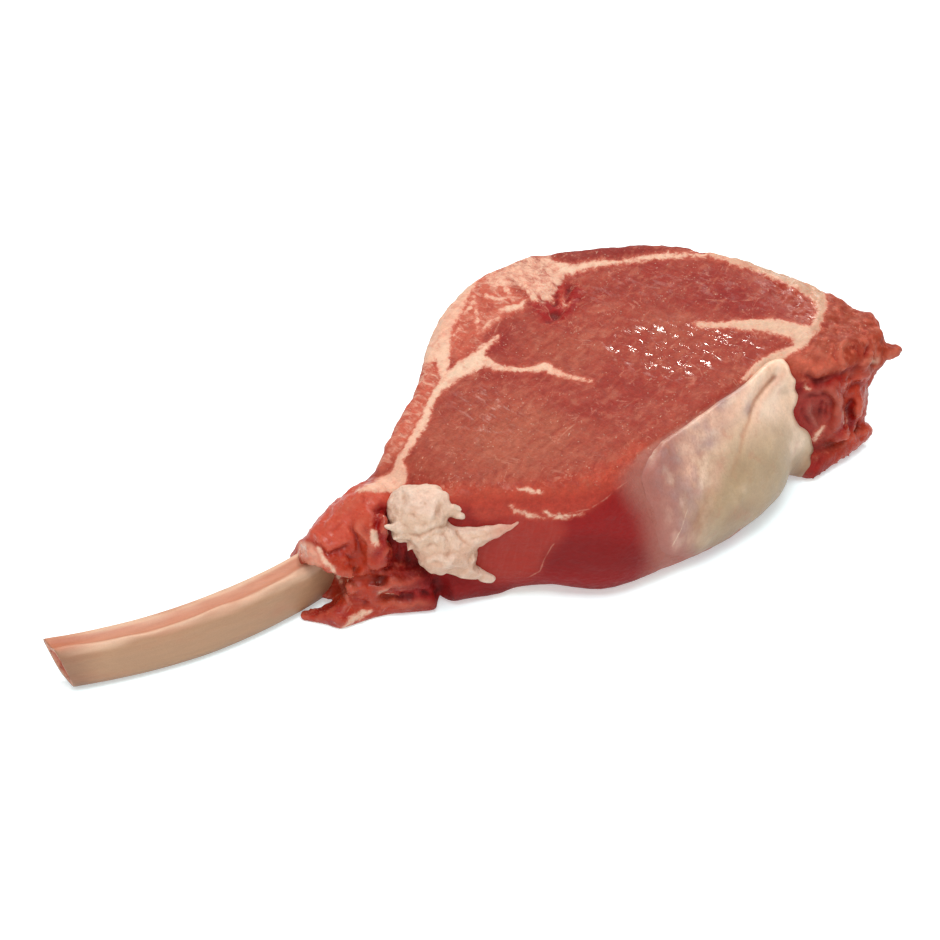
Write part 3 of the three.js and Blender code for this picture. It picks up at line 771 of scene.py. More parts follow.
MARBLED_TOP = [
    (484, 276), (492, 266), (504, 256), (520, 252), (548, 254), (556, 262), (566, 268),
    (562, 282), (552, 296), (545, 302), (537, 300), (528, 296), (520, 290), (508, 288),
    (498, 290), (490, 288),
]
STREAKED_LEFT = [
    (446, 330), (452, 310), (462, 292), (474, 276), (488, 266), (500, 272), (512, 288),
    (522, 298), (520, 312), (506, 316), (494, 328), (484, 344), (472, 352), (458, 360), (446, 352),
]
CAP_STRIP = [
    (556, 250), (566, 244), (600, 240), (650, 238), (690, 238), (706, 242), (704, 250),
    (680, 251.5), (650, 252), (620, 255), (604, 259), (584, 262.5), (570, 264), (558, 258),
]
LEFT_STRIP = [
    (420, 356), (438, 366), (440, 380), (433, 392), (427, 406), (420, 422), (410, 436),
    (398, 455), (380, 470), (372, 462), (392, 428), (408, 396),
]
DARK_TORN = [
    (528, 300), (540, 290), (556, 284), (570, 282), (584, 288), (580, 300), (572, 312),
    (556, 322), (545, 322), (536, 312),
]
LIGHT_LOBE = [
    (420, 440), (440, 400), (480, 385), (530, 400), (560, 430), (600, 460), (560, 480),
    (480, 482), (420, 476),
]
UPPER_EYE = [
    (610, 290), (650, 272), (720, 276), (744, 296), (700, 308), (640, 304),
]
DEEP_MIDDLE = [
    (560, 390), (600, 370), (650, 390), (640, 420), (600, 425), (570, 410),
]
WET_MIDDLE = [
    (606, 340), (622, 330), (644, 322), (680, 320), (716, 324), (752, 332), (764, 346),
    (750, 360), (722, 362), (704, 374), (672, 378), (644, 372), (622, 360), (608, 352),
]
WET_LEFT = [
    (452, 404), (460, 390), (480, 386), (500, 392), (520, 410), (510, 430), (480, 440), (458, 428),
]
WET_FRONT = [
    (408, 486), (440, 478), (490, 480), (520, 486), (566, 484), (600, 474), (640, 452),
    (644, 462), (612, 488), (570, 500), (500, 504), (440, 500), (412, 500),
]
WET_BACK = [
    (560, 282), (620, 276), (700, 268), (760, 282), (790, 300), (780, 312), (720, 300),
    (640, 296), (570, 300),
]
WET_REGIONS = [(WET_MIDDLE, 1.0), (WET_LEFT, 0.5), (WET_FRONT, 0.7), (WET_BACK, 0.25)]
SALMON_BAND = [
    (400, 486), (440, 500), (470, 502), (502, 501), (540, 500), (564, 499), (590, 494),
    (614, 484), (628, 472), (640, 456), (650, 446), (640, 440), (610, 462), (560, 478),
    (500, 484), (450, 484),
]
RED_BAND = [
    (470, 503), (502, 502), (564, 500), (595, 494), (616, 484), (624, 480), (612, 494),
    (597, 506), (584, 513), (560, 518), (540, 520), (520, 516), (505, 520), (480, 520),
]
BELLY = [
    (500, 520), (540, 520), (560, 518), (590, 512), (614, 492), (640, 500), (660, 560),
    (600, 610), (500, 610), (430, 600), (440, 560),
]
# Painted shade on the underside of the belly, where it turns under.
BELLY_UNDERSIDE_SHADE = [
    (540, 548), (580, 536), (620, 540), (650, 548), (650, 566), (600, 572), (560, 572), (535, 566),
]
FILM_PATCH = [
    (470, 545), (492, 528), (520, 512), (560, 520), (566, 532), (548, 552), (538, 572),
    (520, 580), (490, 580), (470, 572),
]
SILVER = [
    (624, 481), (627, 470), (634, 460), (641, 452), (654, 443), (668, 434), (693, 418),
    (718, 401), (742, 384), (762, 367), (782, 354), (786, 380), (784, 560), (640, 600),
    (651, 566), (648, 540), (642, 515), (630, 498),
]
LOBE = [
    (300, 530), (330, 500), (356, 484), (384, 490), (392, 500), (380, 512), (360, 530),
    (352, 540), (336, 545), (320, 545),
]
DARK_POCKET = [
    (372, 512), (380, 502), (388, 502), (392, 516), (388, 534), (380, 540), (374, 528),
]
DARK_FIBROUS = [
    (378, 534), (392, 528), (420, 545), (432, 572), (428, 592), (408, 574), (384, 568), (372, 552),
]
DARK_NOTCH = [
    (424, 572), (436, 566), (446, 576), (448, 592), (438, 604), (430, 600), (398, 600),
    (396, 592), (420, 590),
]
TENDON = [
    (298, 548), (306, 542), (318, 550), (326, 562), (318, 568), (304, 562),
]
ROLL = [
    (372, 572), (396, 570), (428, 568), (431, 586), (400, 590), (374, 592),
]
LOWER_LEFT_FLAP = [
    (300, 618), (316, 606), (334, 604), (350, 612), (346, 624), (330, 626),
]
FAR_TOP = [
    (824, 296), (850, 298), (905, 330), (905, 362), (880, 372), (856, 372), (838, 378),
    (812, 386), (794, 376), (784, 362), (802, 348), (815, 335), (824, 318),
]
FAR_CREASE = [
    (796, 384), (812, 380), (836, 374), (846, 378), (838, 386), (812, 389), (798, 392),
]
WHORL = [
    (798, 396), (808, 390), (822, 392), (832, 402), (834, 416), (828, 430), (816, 438),
    (806, 428), (798, 414),
]
WHORL_RING = [
    (799, 399), (804, 393), (812, 389), (823, 388), (832, 392), (838, 401), (840, 412), (837, 424),
    (829, 435), (820, 443),
]
WHORL_CREASE = [
    (804, 403), (808, 398), (814, 394.5), (822, 394), (829, 399), (832, 408), (831, 418), (825, 428),
]
# Creases and ridges of the torn ends: a line of pixels, its half width in pixels, its height in
# millimetres (below 0 it is a crease), the tone it takes, and how much of that tone. The dark tone
# in the creases is painted shade, and some pale strokes on ridges are painted highlights.
STROKES = [
    ([(306, 541), (314, 545), (322, 550), (331, 553), (341, 550), (352, 543)], 2.4, -1.0, "dark", 0.6),
    ([(309, 529), (320, 540), (329, 547), (339, 545), (351, 538)], 3.2, 0.7, "lobe", 0.6),
    ([(352, 522), (354, 533), (357, 544), (360, 553)], 2.2, -1.3, "dark", 0.65),
    ([(365, 516), (359, 526), (364, 536), (371, 545), (371, 556)], 4.0, 0.9, "pale", 0.6),
    ([(371, 511), (378, 509), (386, 509)], 3.2, -1.6, "dark", 0.9),
    ([(379, 512), (377, 524), (378, 536), (381, 546)], 4.2, -1.8, "dark", 0.85),
    ([(335, 554), (346, 556), (358, 557)], 1.8, -0.7, "dark", 0.5),
    ([(330, 532), (338, 528), (344, 520)], 2.0, -0.4, "dark", 0.25),
    ([(342, 512), (352, 504), (364, 497)], 4.0, 0.5, "pale", 0.35),
    ([(372, 592), (384, 589), (400, 584), (424, 578)], 3.0, 0.6, "lobe", 0.35),
    ([(378, 593), (384, 591), (389, 589)], 1.8, 0.3, "cream", 0.7),
    ([(372, 570), (388, 568), (404, 566), (426, 566)], 2.6, -0.8, "dark", 0.5),
    ([(372, 578), (390, 576), (410, 572)], 1.6, -0.5, "dark", 0.4),
    ([(394, 594), (410, 595), (426, 593), (437, 592)], 3.2, -1.2, "dark", 0.9),
    ([(370, 602), (390, 603), (412, 604), (432, 602)], 3.0, 0.5, "pale", 0.4),
    ([(389, 540), (391, 552), (389, 563)], 1.6, -0.6, "dark", 0.5),
    ([(397, 540), (400, 552), (399, 564)], 1.6, -0.5, "dark", 0.5),
    ([(406, 546), (409, 556), (408, 566)], 1.6, -0.5, "dark", 0.5),
    ([(376, 562), (384, 556), (387, 546)], 2.0, 0.5, "lobe", 0.4),
    ([(340, 582), (344, 592), (348, 604), (343, 616)], 1.6, 0.3, "mauve", 0.5),
    ([(333, 586), (328, 596), (318, 604)], 1.4, 0.3, "mauve", 0.4),
    ([(352, 596), (362, 602), (368, 608)], 2.0, -0.6, "dark", 0.5),
    ([(300, 541), (306, 547), (314, 556)], 2.6, 0.6, "cream", 0.5),
    ([(299, 550), (307, 558), (316, 561)], 2.0, 0.5, "pale", 0.6),
    ([(798, 373), (812, 379), (824, 380), (834, 377), (846, 371), (862, 367)], 2.8, -1.1, "dark", 0.7),
    ([(786, 361), (800, 364), (815, 368), (828, 366), (838, 359)], 7.0, 1.0, "lip", 0.5),
    ([(553, 281), (558, 296), (556, 312), (548, 320)], 7.0, -0.9, "dark", 0.9),
    ([(566, 284), (568, 294), (563, 306)], 4.0, -0.7, "dark", 0.6),
    ([(561, 282), (563, 292), (560, 302)], 2.0, 0.5, "lobe", 0.4),
    ([(814, 349), (822, 354), (831, 361)], 3.0, 0.4, "pale", 0.5),
    ([(846, 337), (840, 347), (841, 357), (844, 366)], 2.6, 0.8, "pale", 0.5),
    ([(836, 345), (835, 356), (838, 364)], 2.0, -0.8, "dark", 0.4),
    ([(852, 345), (858, 352), (862, 360)], 2.4, -0.7, "dark", 0.4),
    ([(869, 343), (868, 350), (866, 356)], 1.8, -1.0, "dark", 0.7),
    ([(873, 343), (874, 351), (873, 357)], 2.4, 0.8, "pale", 0.7),
    ([(868, 359), (876, 361), (880, 356)], 2.4, 0.5, "cream", 0.45),
    ([(886, 357), (893, 353), (899, 348)], 2.4, 0.4, "pale", 0.6),
    (WHORL_RING, 3.4, 1.0, "mauve", 0.2),
    (WHORL_CREASE, 1.9, -0.6, "dark", 0.45),
    ([(820, 398), (822, 407), (821, 416)], 1.9, -0.9, "dark", 0.8),
    ([(826, 403), (827, 410), (825, 419)], 1.5, -0.7, "dark", 0.6),
    ([(803, 406), (805, 416), (810, 425)], 1.8, -0.6, "dark", 0.5),
    ([(809, 402), (811, 416), (817, 428)], 3.2, 0.8, "mauve", 0.4),
    ([(850, 398), (851, 410), (848, 424)], 4.0, -1.8, "dark", 0.8),
    ([(840, 428), (850, 426), (858, 423)], 3.4, -1.2, "dark", 0.7),
    ([(859, 390), (860, 404), (859, 420)], 3.0, 0.7, "lobe", 0.3),
    ([(844, 386), (854, 380), (866, 376)], 2.4, 0.6, "lobe", 0.4),
    ([(846, 392), (856, 386), (866, 384)], 1.8, -0.7, "dark", 0.45),
    ([(871, 426), (860, 434), (846, 440), (836, 450)], 3.0, 0.7, "lobe", 0.45),
    ([(822, 452), (818, 464), (812, 474)], 2.2, -0.6, "dark", 0.5),
    ([(838, 452), (832, 462), (824, 472)], 1.8, -0.4, "dark", 0.35),
]
FAR_CAVITY = [
    (842, 406), (850, 404), (858, 412), (858, 426), (846, 432), (838, 440), (836, 426),
]
FAR_BITS = [
    [(806, 386, 1.2), (808, 388, 1.4)],
    [(814, 440, 1.6), (820, 432, 1.8), (824, 426, 0.8)],
    [(843, 414, 0.9), (845, 408, 1.0)],
    [(846, 424, 0.8), (845, 416, 0.9)],
]

# Thin threads of membrane, as lines of pixels.
THREADS = [
    [(556.5, 444), (559.6, 438), (567.8, 429.8), (578, 421.6)],
    [(701, 299), (728, 301.5), (758, 299)],
    [(477, 336), (476, 324), (478, 316), (482, 311)],
    [(455, 340), (462, 333)],
    [(500, 322), (494, 334), (490, 342)],
    [(667, 378), (676, 371), (690, 364), (700, 370), (703, 378)],
    [(563, 376), (580, 381), (594, 383)],
    [(566, 514), (590, 509), (604, 500), (618, 488), (630, 480)],
    [(560, 537), (552, 546), (544, 560), (540, 571), (528, 578)],
    [(688, 508), (682, 528), (672, 547)],
    [(340, 574), (346, 590), (352, 604), (344, 616)],
    [(346, 590), (334, 598), (322, 606)],
    [(572, 300), (578, 296), (584, 292)],
    [(540, 300), (548, 308), (552, 318)],
]
THREAD_REACH_PX = 7.0


def region(outline, px, py, softness):
    """1 inside a region of the photograph and 0 outside, changing over a softness in pixels."""
    d = outline_distance(closed_spline(outline, 3), px, py)
    return smoothstep(-d, -softness, softness)


def patch(place, px, py):
    """A soft patch in the photograph, 1 at its middle."""
    middle_x, middle_y, half_width, half_height, turn = place
    angle = math.radians(turn)
    u = (px - middle_x) * math.cos(angle) + (py - middle_y) * math.sin(angle)
    v = (py - middle_y) * math.cos(angle) - (px - middle_x) * math.sin(angle)
    return np.exp(-((u / half_width) ** 2) - (v / half_height) ** 2)


def lines_gap(lines, px, py):
    """How far outside the nearest line's own half width each pixel lies."""
    gap = np.full(px.shape, 1e3)
    for line in lines:
        distance, _, _, width = polyline_distance(line, px, py)
        gap = np.minimum(gap, distance - width)
    return gap


def thread_marks(px, py):
    """The signed side of the nearest thread, and how much of it shows there."""
    nearest = np.full(px.shape, 1e3)
    side = np.full(px.shape, 1e3)
    shown = np.zeros(px.shape)
    for line in THREADS:
        distance, lateral, along, _ = polyline_distance(line, px, py)
        nearer = distance < nearest
        nearest = np.where(nearer, distance, nearest)
        side = np.where(nearer, lateral, side)
        ends = smoothstep(along, 0, 0.06) * smoothstep(1 - along, 0, 0.06)
        reach = 1 - smoothstep(distance, THREAD_REACH_PX * 0.5, THREAD_REACH_PX)
        shown = np.where(nearer, ends * reach, shown)
    return side, shown


def mix(base, colour, share):
    share = np.asarray(share)[:, None]
    return base * (1 - share) + np.asarray(colour) * share


RIM_INSET_MM = 2.2  # the unseen sides take the marks that lie this far inside the rim


def marks_place(points, normals):
    """The pixel whose marks each point takes, and how directly the photograph shows it.

    What the photograph doesn't show, the back and the underside, takes the marks of the rim next to
    it, because the seams run through the whole thickness.
    """
    rim = rim_outline(None)
    x, y, z = points.T
    gap = outline_distance(rim, x, y)
    step = 0.5
    gx = (outline_distance(rim, x + step, y) - outline_distance(rim, x - step, y)) / (2 * step)
    gy = (outline_distance(rim, x, y + step) - outline_distance(rim, x, y - step)) / (2 * step)
    length = np.maximum(np.hypot(gx, gy), 1e-6)
    pull = np.maximum(gap + RIM_INSET_MM, 0)
    in_x = x - gx / length * pull
    in_y = y - gy / length * pull
    px_seen, py_seen = pixels_of(x, y, z)
    px_rim, py_rim = pixels_of(in_x, in_y, THICKNESS)
    sight = CAMERA_PLACE_MM - points
    sight /= np.linalg.norm(sight, axis=1, keepdims=True)
    facing = (normals * sight).sum(axis=1)
    seen = smoothstep(facing, -0.02, 0.12)
    px = px_rim + (px_seen - px_rim) * seen
    py = py_rim + (py_seen - py_rim) * seen
    return px, py, seen


# ---- the meat piece ----

rough = Noise(11)
tears = Noise(23)
blotch = Noise(37)

FAT_COVER_CONTRAST = 26.0  # in pixels of the photograph, as the other gaps are
FAT_COVER_AMOUNT = 0.10
RIM_FAT_BEAD = 1.3  # how far the fat of the rim stands out at the back, in millimetres
CAP_BEAD = 0.8
SMALL_HOLLOW_ROUNDS = 8  # rounds of smoothing that a hollow's depth is measured against
LARGE_HOLLOW_ROUNDS = 60
# The dark tone paints shade into creases, and the pale one paints highlights on some ridges.
STROKE_TONES = {
    "lip": LIP_SALMON,
    "dark": CREASE_RED,
    "lobe": LOBE_RED,
    "pale": TORN_PALE,
    "cream": FAT_CREAM,
    "mauve": MAUVE,
}

# Coats of paint, in the order in which they are laid. Each has its tone, the region of the photograph
# that it fills, how soft its edge is in pixels, and how much of the tone it takes.
FACE_COATS = [
    (ROSE_BEIGE, LIGHT_LOBE, 26, 0.5),
    (ROSE_DEEP, DEEP_MIDDLE, 20, 0.4),
    (ROSE_DEEP, UPPER_EYE, 16, 0.45),
]
BAND_COATS = [
    (PINK_FLESH, LEFT_STRIP, 5, 0.7),
    (SALMON, SALMON_BAND, 7, 0.75),
]
BELLY_COATS = [
    (LOBE_RED, RED_BAND, 6, 0.45),
    (BELLY_RED, BELLY, 6, 0.9),
    # Painted shade where the belly turns under.
    (DARK_RED, BELLY_UNDERSIDE_SHADE, 10, 0.35),
]
# The darker reds in the pocket, the fibrous part, the notch, the far crease and the cavity are partly
# painted shade of those recesses.
TORN_COATS = [
    (CREASE_RED, DARK_POCKET, 3, 0.85),
    (CREASE_RED, DARK_FIBROUS, 5, 0.75),
    (CREASE_RED, DARK_NOTCH, 4, 0.8),
    (UNDER_RED, FAR_CREASE, 3, 0.7),
    (CREASE_RED, FAR_CAVITY, 4, 0.7),
    (MAUVE, WHORL, 4, 0.12),
    (DARK_RED, ROLL, 4, 0.4),
    (UNDER_RED, LOWER_LEFT_FLAP, 4, 0.6),
    (FAT_PINK, TENDON, 3, 0.95),
]
FAT_COATS = [
    (FAT_PINK, RIM_FAT_LEFT, 4, 0.2),
    (FAT_PINK, PINK_FLAP, 4, 0.3),
    (RIM_TAN, RIM_FAT_RIGHT, 4, 0.75),
    (FAT_SHADE, JUNCTION, 4, 0.4),
]
DEEP_SPOT = (500, 340, 24, 14, -30)


def lay_coats(colour, coats, px, py, shown=1.0):
    for shade, outline, softness, amount in coats:
        colour = mix(colour, shade, region(outline, px, py, softness) * shown * amount)
    return colour


def darkened(colour, share):
    return colour * (1 - share)[:, None]


def stroke_marks(px, py, seen):
    """For each stroke: where it lies on the mesh, its height, its tone and how much of it."""
    waver_x = px + 1.3 * np.sin(py / 4.6) + 0.5 * np.sin(py / 2.1 + 1)
    waver_y = py + 1.3 * np.sin(px / 4.1) + 0.5 * np.sin(px / 1.9 + 2)
    made = []
    for line, half_width, height, name, amount in STROKES:
        distance, _, along, _ = polyline_distance(line, waver_x, waver_y)
        ends = smoothstep(along, -0.1, 0.25) * smoothstep(1 - along, -0.1, 0.25)
        share = np.exp(-((distance / half_width) ** 2)) * ends * seen
        made.append((share, height, STROKE_TONES[name], amount))
    return made


def hollows_of(points, normals, rings, times):
    """How deep each point lies below its smoothed surroundings, in millimetres."""
    return ((rings.smooth(points, times) - points) * normals).sum(axis=1)


def meat_marks(points, normals):
    """What each point of the meat is: cut face, side or torn end, and how much fat lies there."""
    x, y, z = points.T
    px, py, seen = marks_place(points, normals)
    upward = smoothstep(normals[:, 2], 0.75, 0.95)
    downward = smoothstep(-normals[:, 2], 0.75, 0.95)
    torn = np.maximum(smoothstep(-x, 28, 42), smoothstep(x, 106, 120))
    side = 1 - np.maximum(upward, downward)

    fat_gap = lines_gap(FAT_LINES, px, py)
    for outline in FAT_REGIONS:
        fat_gap = np.minimum(fat_gap, outline_distance(closed_spline(outline, 3), px, py))
    fat_gap = np.minimum(fat_gap, lines_gap(FAR_BITS, px, py) * seen + 30 * (1 - seen))
    cap = outline_distance(closed_spline(CAP_STRIP, 3), px, py)
    fat_gap = np.maximum(fat_gap, 1.5 - cap)
    fat_gap = np.maximum(fat_gap, 1.0 - lines_gap(RED_STREAKS, px, py))

    # On the sides that the photograph doesn't show, a torn cover of fat comes and goes.
    depth = np.maximum(cut_face_height(x, y) - z, 0)
    hidden = side * (1 - seen) * (1 - smoothstep(torn, 0.2, 0.8))
    cover = FAT_COVER_CONTRAST * (FAT_COVER_AMOUNT - blotch(points, 22, 4, (1, 1, 0.8)))
    under_rim = hidden * smoothstep(depth + 4 * rough(points, 7, 2), 1, 11)
    fat_gap = fat_gap + (-cover - fat_gap) * under_rim

    streaked = region(STREAKED_LEFT, px, py, 6)
    marble = np.maximum(0.66 * region(MARBLED_TOP, px, py, 5), 0.34 * streaked)
    marble = np.maximum(marble, 0.42 * region(LEFT_STRIP, px, py, 4))
    marble = marble * (1 - under_rim) + 0.30 * under_rim
    along_rim = smoothstep(py, 452, 470)
    silver = region(SILVER, px, py, 2) * (1 - along_rim) + region(SILVER, px, py, 17) * along_rim
    return SimpleNamespace(
        px=px, py=py, seen=seen, upward=upward, downward=downward, side=side, torn=torn,
        depth=depth, hidden=hidden, fat_gap=fat_gap, in_fat=smoothstep(-fat_gap, -2.0, 2.0),
        streaked=streaked, marble=marble, silver=silver * seen,
        dark_torn=region(DARK_TORN, px, py, 5) * seen, strokes=stroke_marks(px, py, seen),
    )


def meat_relief(points, on):
    """Fibre bundles on the cut face, soft waves on the sides and crags at the torn ends."""
    z = points[:, 2]
    flat = on.upward + on.downward
    relief = (0.10 * rough(points, 2.4, 2) + 0.35 * rough(points, 16, 2)) * flat
    relief += 0.35 * on.in_fat * on.upward
    waves = 0.35 * rough(points, 9, 3) + 0.10 * rough(points, 2.2, 2)
    relief += on.side * (1 - on.torn) * waves
    crag = 1 - np.abs(tears(points, 6.0, 3)) * 2
    ragged = np.maximum(on.torn * (1 - 0.5 * region(LOBE, on.px, on.py, 6)), 0)
    relief += ragged * (0.75 * crag - 0.35 + 0.35 * tears(points, 2.0, 2)) * smoothstep(z, 0.4, 3)
    relief += on.dark_torn * (1.3 * tears(points, 2.8, 2) - 0.8)
    for share, height, _, _ in on.strokes:
        relief += height * share
    relief += 0.35 * on.marble * on.side * rough(points, 3.0, 2)
    near_rim = on.side * (1 - on.torn) * smoothstep(-on.depth, -8, -1)
    relief += 0.55 * near_rim * tears(points, 3.4, 3)
    relief += RIM_FAT_BEAD * region(RIM_FAT_RIGHT, on.px, on.py, 5) * (1 - on.torn)
    relief += CAP_BEAD * region(CAP_STRIP, on.px, on.py, 4)
    return relief * smoothstep(z, 0.3, 1.5)


def meat_colour(points, on, wide, small_hollow, large_hollow):
    """The flesh, laid coat over coat, with painted shade in its creases, hollows and under the belly,
    and painted highlights on the bulges of the torn ends.
    """
    px, py, seen, torn, side = on.px, on.py, on.seen, on.torn, on.side
    narrow = blotch(points, 6, 3, (1.6, 1, 1))
    colour = mix(ROSE, ROSE_BEIGE, smoothstep(wide, -0.1, 0.7) * 0.55)
    colour = mix(colour, ROSE_DEEP, smoothstep(-wide, 0.0, 0.7) * 0.6)
    colour = mix(colour, ROSE_PALE, smoothstep(narrow, 0.1, 0.6) * 0.35)
    colour = mix(colour, ROSE_DEEP, smoothstep(-narrow, 0.1, 0.6) * 0.35)
    colour = lay_coats(colour, FACE_COATS, px, py)
    colour = mix(colour, TORN_RED, torn * side)
    colour = mix(colour, BELLY_RED, side * (1 - torn) * 0.75)
    colour = mix(colour, PINK_FLESH, on.streaked * 0.65)
    colour = mix(colour, ROSE_DEEP, patch(DEEP_SPOT, px, py) * 0.9)
    colour = lay_coats(colour, BAND_COATS, px, py)
    colour = lay_coats(colour, BELLY_COATS, px, py, seen)
    # Painted shade low on the belly, near the floor.
    near_floor = smoothstep(-points[:, 2], -9, -2)
    colour = mix(colour, DARK_RED, region(BELLY, px, py, 8) * near_floor * seen * 0.6)
    colour = mix(colour, FILM_PINK, region(FILM_PATCH, px, py, 8) * seen * 0.6)
    colour = mix(colour, MAUVE, on.silver * 0.85)
    colour = mix(colour, LOBE_RED, region(LOBE, px, py, 6) * seen * 0.9)
    far_top = region(FAR_TOP, px, py, 6)
    granular = smoothstep(tears(points, 2.2, 3), 0.05, 0.5)
    colour = mix(colour, TORN_PALE, far_top * smoothstep(wide, -0.6, 0.6) * 0.3)
    colour = mix(colour, BROWNISH, far_top * 0.6)
    colour = mix(colour, LIP_SALMON, granular * far_top * 0.45)
    colour = mix(colour, CREASE_RED, on.dark_torn * 0.95)
    colour = mix(colour, DARK_RED, region(CAP_STRIP, px, py, 4) * 0.3)
    colour = lay_coats(colour, TORN_COATS, px, py, seen)
    colour = mix(colour, TORN_RED, torn * (1 - seen) * (1 - on.upward) * 0.65)
    for share, _, shade, amount in on.strokes:
        colour = mix(colour, shade, share * amount)
    # Painted shade in small and large hollows, and a painted highlight on the bulges of the torn ends.
    shadow_share = (0.50 - 0.34 * torn) * (1 - 0.6 * on.in_fat)
    colour = darkened(colour, shadow_share * smoothstep(small_hollow, 0.05, 0.5))
    shadow_share = (0.45 - 0.2 * torn) * (1 - 0.5 * on.in_fat)
    colour = darkened(colour, shadow_share * smoothstep(large_hollow, 0.6, 4.0))
    return mix(colour, TORN_PALE, smoothstep(-small_hollow, 0.1, 0.6) * torn * 0.45)


def build_meat():
    """The fine mesh of the meat, with its relief, and the marks painted on it."""
    p = grid(MEAT_SPANS)
    points, quads = largest_body(*surface_nets(meat_field(p), p))
    normals = normals_of(points, quads)
    rings = Rings(quads, len(points))
    on = meat_marks(points, normals)
    px, py, seen = on.px, on.py, on.seen
    moved = points + normals * meat_relief(points, on)[:, None]
    moved[:, 2] = np.maximum(moved[:, 2], 0.0)

    normals = normals_of(moved, quads)
    small_hollow = rings.smooth(hollows_of(moved, normals, rings, SMALL_HOLLOW_ROUNDS), 1)
    large_hollow = hollows_of(moved, normals, rings, LARGE_HOLLOW_ROUNDS)
    wide = blotch(points, 26, 2)
    colour = meat_colour(points, on, wide, small_hollow, large_hollow)
    fat_tone = mix(FAT_CREAM, FAT_PINK, smoothstep(wide, -0.2, 0.8) * 0.5)
    fat_tone = lay_coats(fat_tone, FAT_COATS, px, py)
    fat_tone = mix(fat_tone, FAT_SHADE, on.side * (1 - seen) * 0.5)

    hazy = np.maximum(on.silver, 0.45 * region(FILM_PATCH, px, py, 10) * seen)
    glossy = on.torn * (1 - 0.85 * region(FAR_TOP, px, py, 8) * seen)
    wet = np.zeros(len(points))
    for outline, amount in WET_REGIONS:
        wet = np.maximum(wet, region(outline, px, py, 8) * seen * on.upward * amount)
    thread_side, thread_shown = thread_marks(px, py)
    piece = make_mesh("meat_flesh", moved, quads)
    set_colour(piece, "tone", colour)
    set_colour(piece, "fat_tone", fat_tone)
    values = {
        "fat_gap": on.fat_gap,
        "marble": on.marble,
        "cut_face": np.maximum(on.upward, on.downward) * (1 - on.in_fat),
        "torn": on.torn,
        "film": np.maximum(hazy, 0.5 * on.hidden),
        "sleek": np.maximum(on.silver, region(BELLY, px, py, 8) * seen),
        "glossy": glossy,
        "wet": np.maximum(wet, 0.45 * glossy),
        "thread_side": thread_side,
        "thread_shown": thread_shown * seen,
    }
    for name, value in values.items():
        set_value(piece, name, value)
    return piece


# Folds of the sheet beside the main one: lines of pixels, the height in millimetres (below 0 it is
# a crease), and the half width in pixels.
SHEET_FOLDS = [
    ([(769, 368), (760, 376), (752, 386), (745, 398), (742, 410)], 0.7, 5.0),
    ([(732, 478), (722, 498), (712, 518), (702, 538)], 0.25, 8.0),
    ([(718, 478), (709, 496), (700, 516), (690, 536)], -0.3, 5.0),
    ([(740, 450), (735, 466), (728, 484)], -0.35, 5.0),
    ([(757, 455), (750, 476), (740, 498)], 0.2, 8.0),
    ([(728, 425), (722, 440), (716, 452)], -0.2, 5.0),
    ([(665, 439), (669, 447), (671, 457)], -0.35, 2.2),
    ([(674, 440), (676, 448), (677, 458)], 0.35, 3.0),
    ([(703, 470), (702, 484), (699, 496)], 0.3, 3.0),
    ([(745, 480), (735, 500), (722, 520)], 0.2, 7.0),
    ([(690, 446), (700, 452), (712, 455), (728, 456)], 0.3, 3.0),
]
LUMP_FOLDS = [
    ([(402, 494), (404, 506), (401, 514)], -0.25, 1.8),
    ([(442, 500), (440, 510), (434, 519)], -0.5, 2.6),
    ([(445, 516), (453, 506), (462, 509)], 0.5, 2.0),
    ([(447, 519), (455, 516), (462, 513)], -0.5, 1.6),
    ([(405, 533), (420, 536), (435, 529), (450, 525)], -0.7, 2.0),
    ([(412, 528), (424, 529), (434, 523)], 0.4, 2.4),
    ([(425, 548), (432, 544), (440, 546)], -0.6, 1.6),
    ([(455, 527), (460, 538), (468, 545)], -0.7, 2.0),
    ([(462, 534), (485, 528), (509, 524)], 0.35, 2.0),
    ([(466, 541), (484, 537), (500, 531)], -0.3, 2.0),
    ([(421, 563), (436, 559), (452, 562)], 0.5, 2.6),
    ([(436, 552), (448, 555), (460, 552)], -0.4, 1.8),
    ([(462, 566), (476, 571), (489, 577)], 0.3, 2.2),
]
# Patches of the sheet, by tone: the middle, half width, half height in pixels, and turn in degrees.
SHEET_PATCHES = {
    "grey": [
        (739, 388, 10, 5, -35), (707, 444, 13, 8, -20), (722, 402, 11, 5, -35),
        (664, 470, 10, 22, 10), (679, 500, 8, 20, 15), (748, 408, 5, 8, 20),
    ],
    "peach": [
        (690, 447, 10, 13, 20), (764, 385, 4, 15, 38), (722, 424, 17, 8, -30), (690, 474, 12, 13, 0),
        (744, 396, 4, 10, 30), (733, 410, 12, 5, -35), (716, 472, 8, 16, 20),
    ],
    # The small pale patches at (676, 459) and (701, 484) are painted highlights.
    "pale": [
        (777, 390, 8, 20, 10), (770, 410, 12, 12, 0), (797, 440, 10, 24, 0), (676, 459, 4, 4, 0),
        (701, 484, 3, 10, 5), (694, 424, 10, 3, -32), (730, 402, 9, 3, -36), (712, 432, 6, 4, 0),
    ],
    "brown": [
        (700, 520, 16, 10, -40), (736, 516, 24, 7, -35),
    ],
}


# How much of its tone each kind of patch takes, in the order in which they are painted.
SHEET_PATCH_TONES = [
    ("grey", SHEET_GREY, 0.9),
    ("peach", SHEET_PEACH, 0.85),
    ("pale", SHEET_PALE_AND_HIGHLIGHT, 0.75),
    ("brown", SHEET_BROWN_AND_FOOT_SHADE, 0.7),
]


def line_relief(folds, px, py):
    """The relief of a list of folds, in millimetres."""
    relief = np.zeros(px.shape)
    for line, height, half_width in folds:
        distance, _, along, _ = polyline_distance(line, px, py)
        ends = smoothstep(along, 0, 0.2) * smoothstep(1 - along, 0, 0.2)
        relief = relief + height * np.exp(-((distance / half_width) ** 2)) * (0.3 + 0.7 * ends)
    return relief


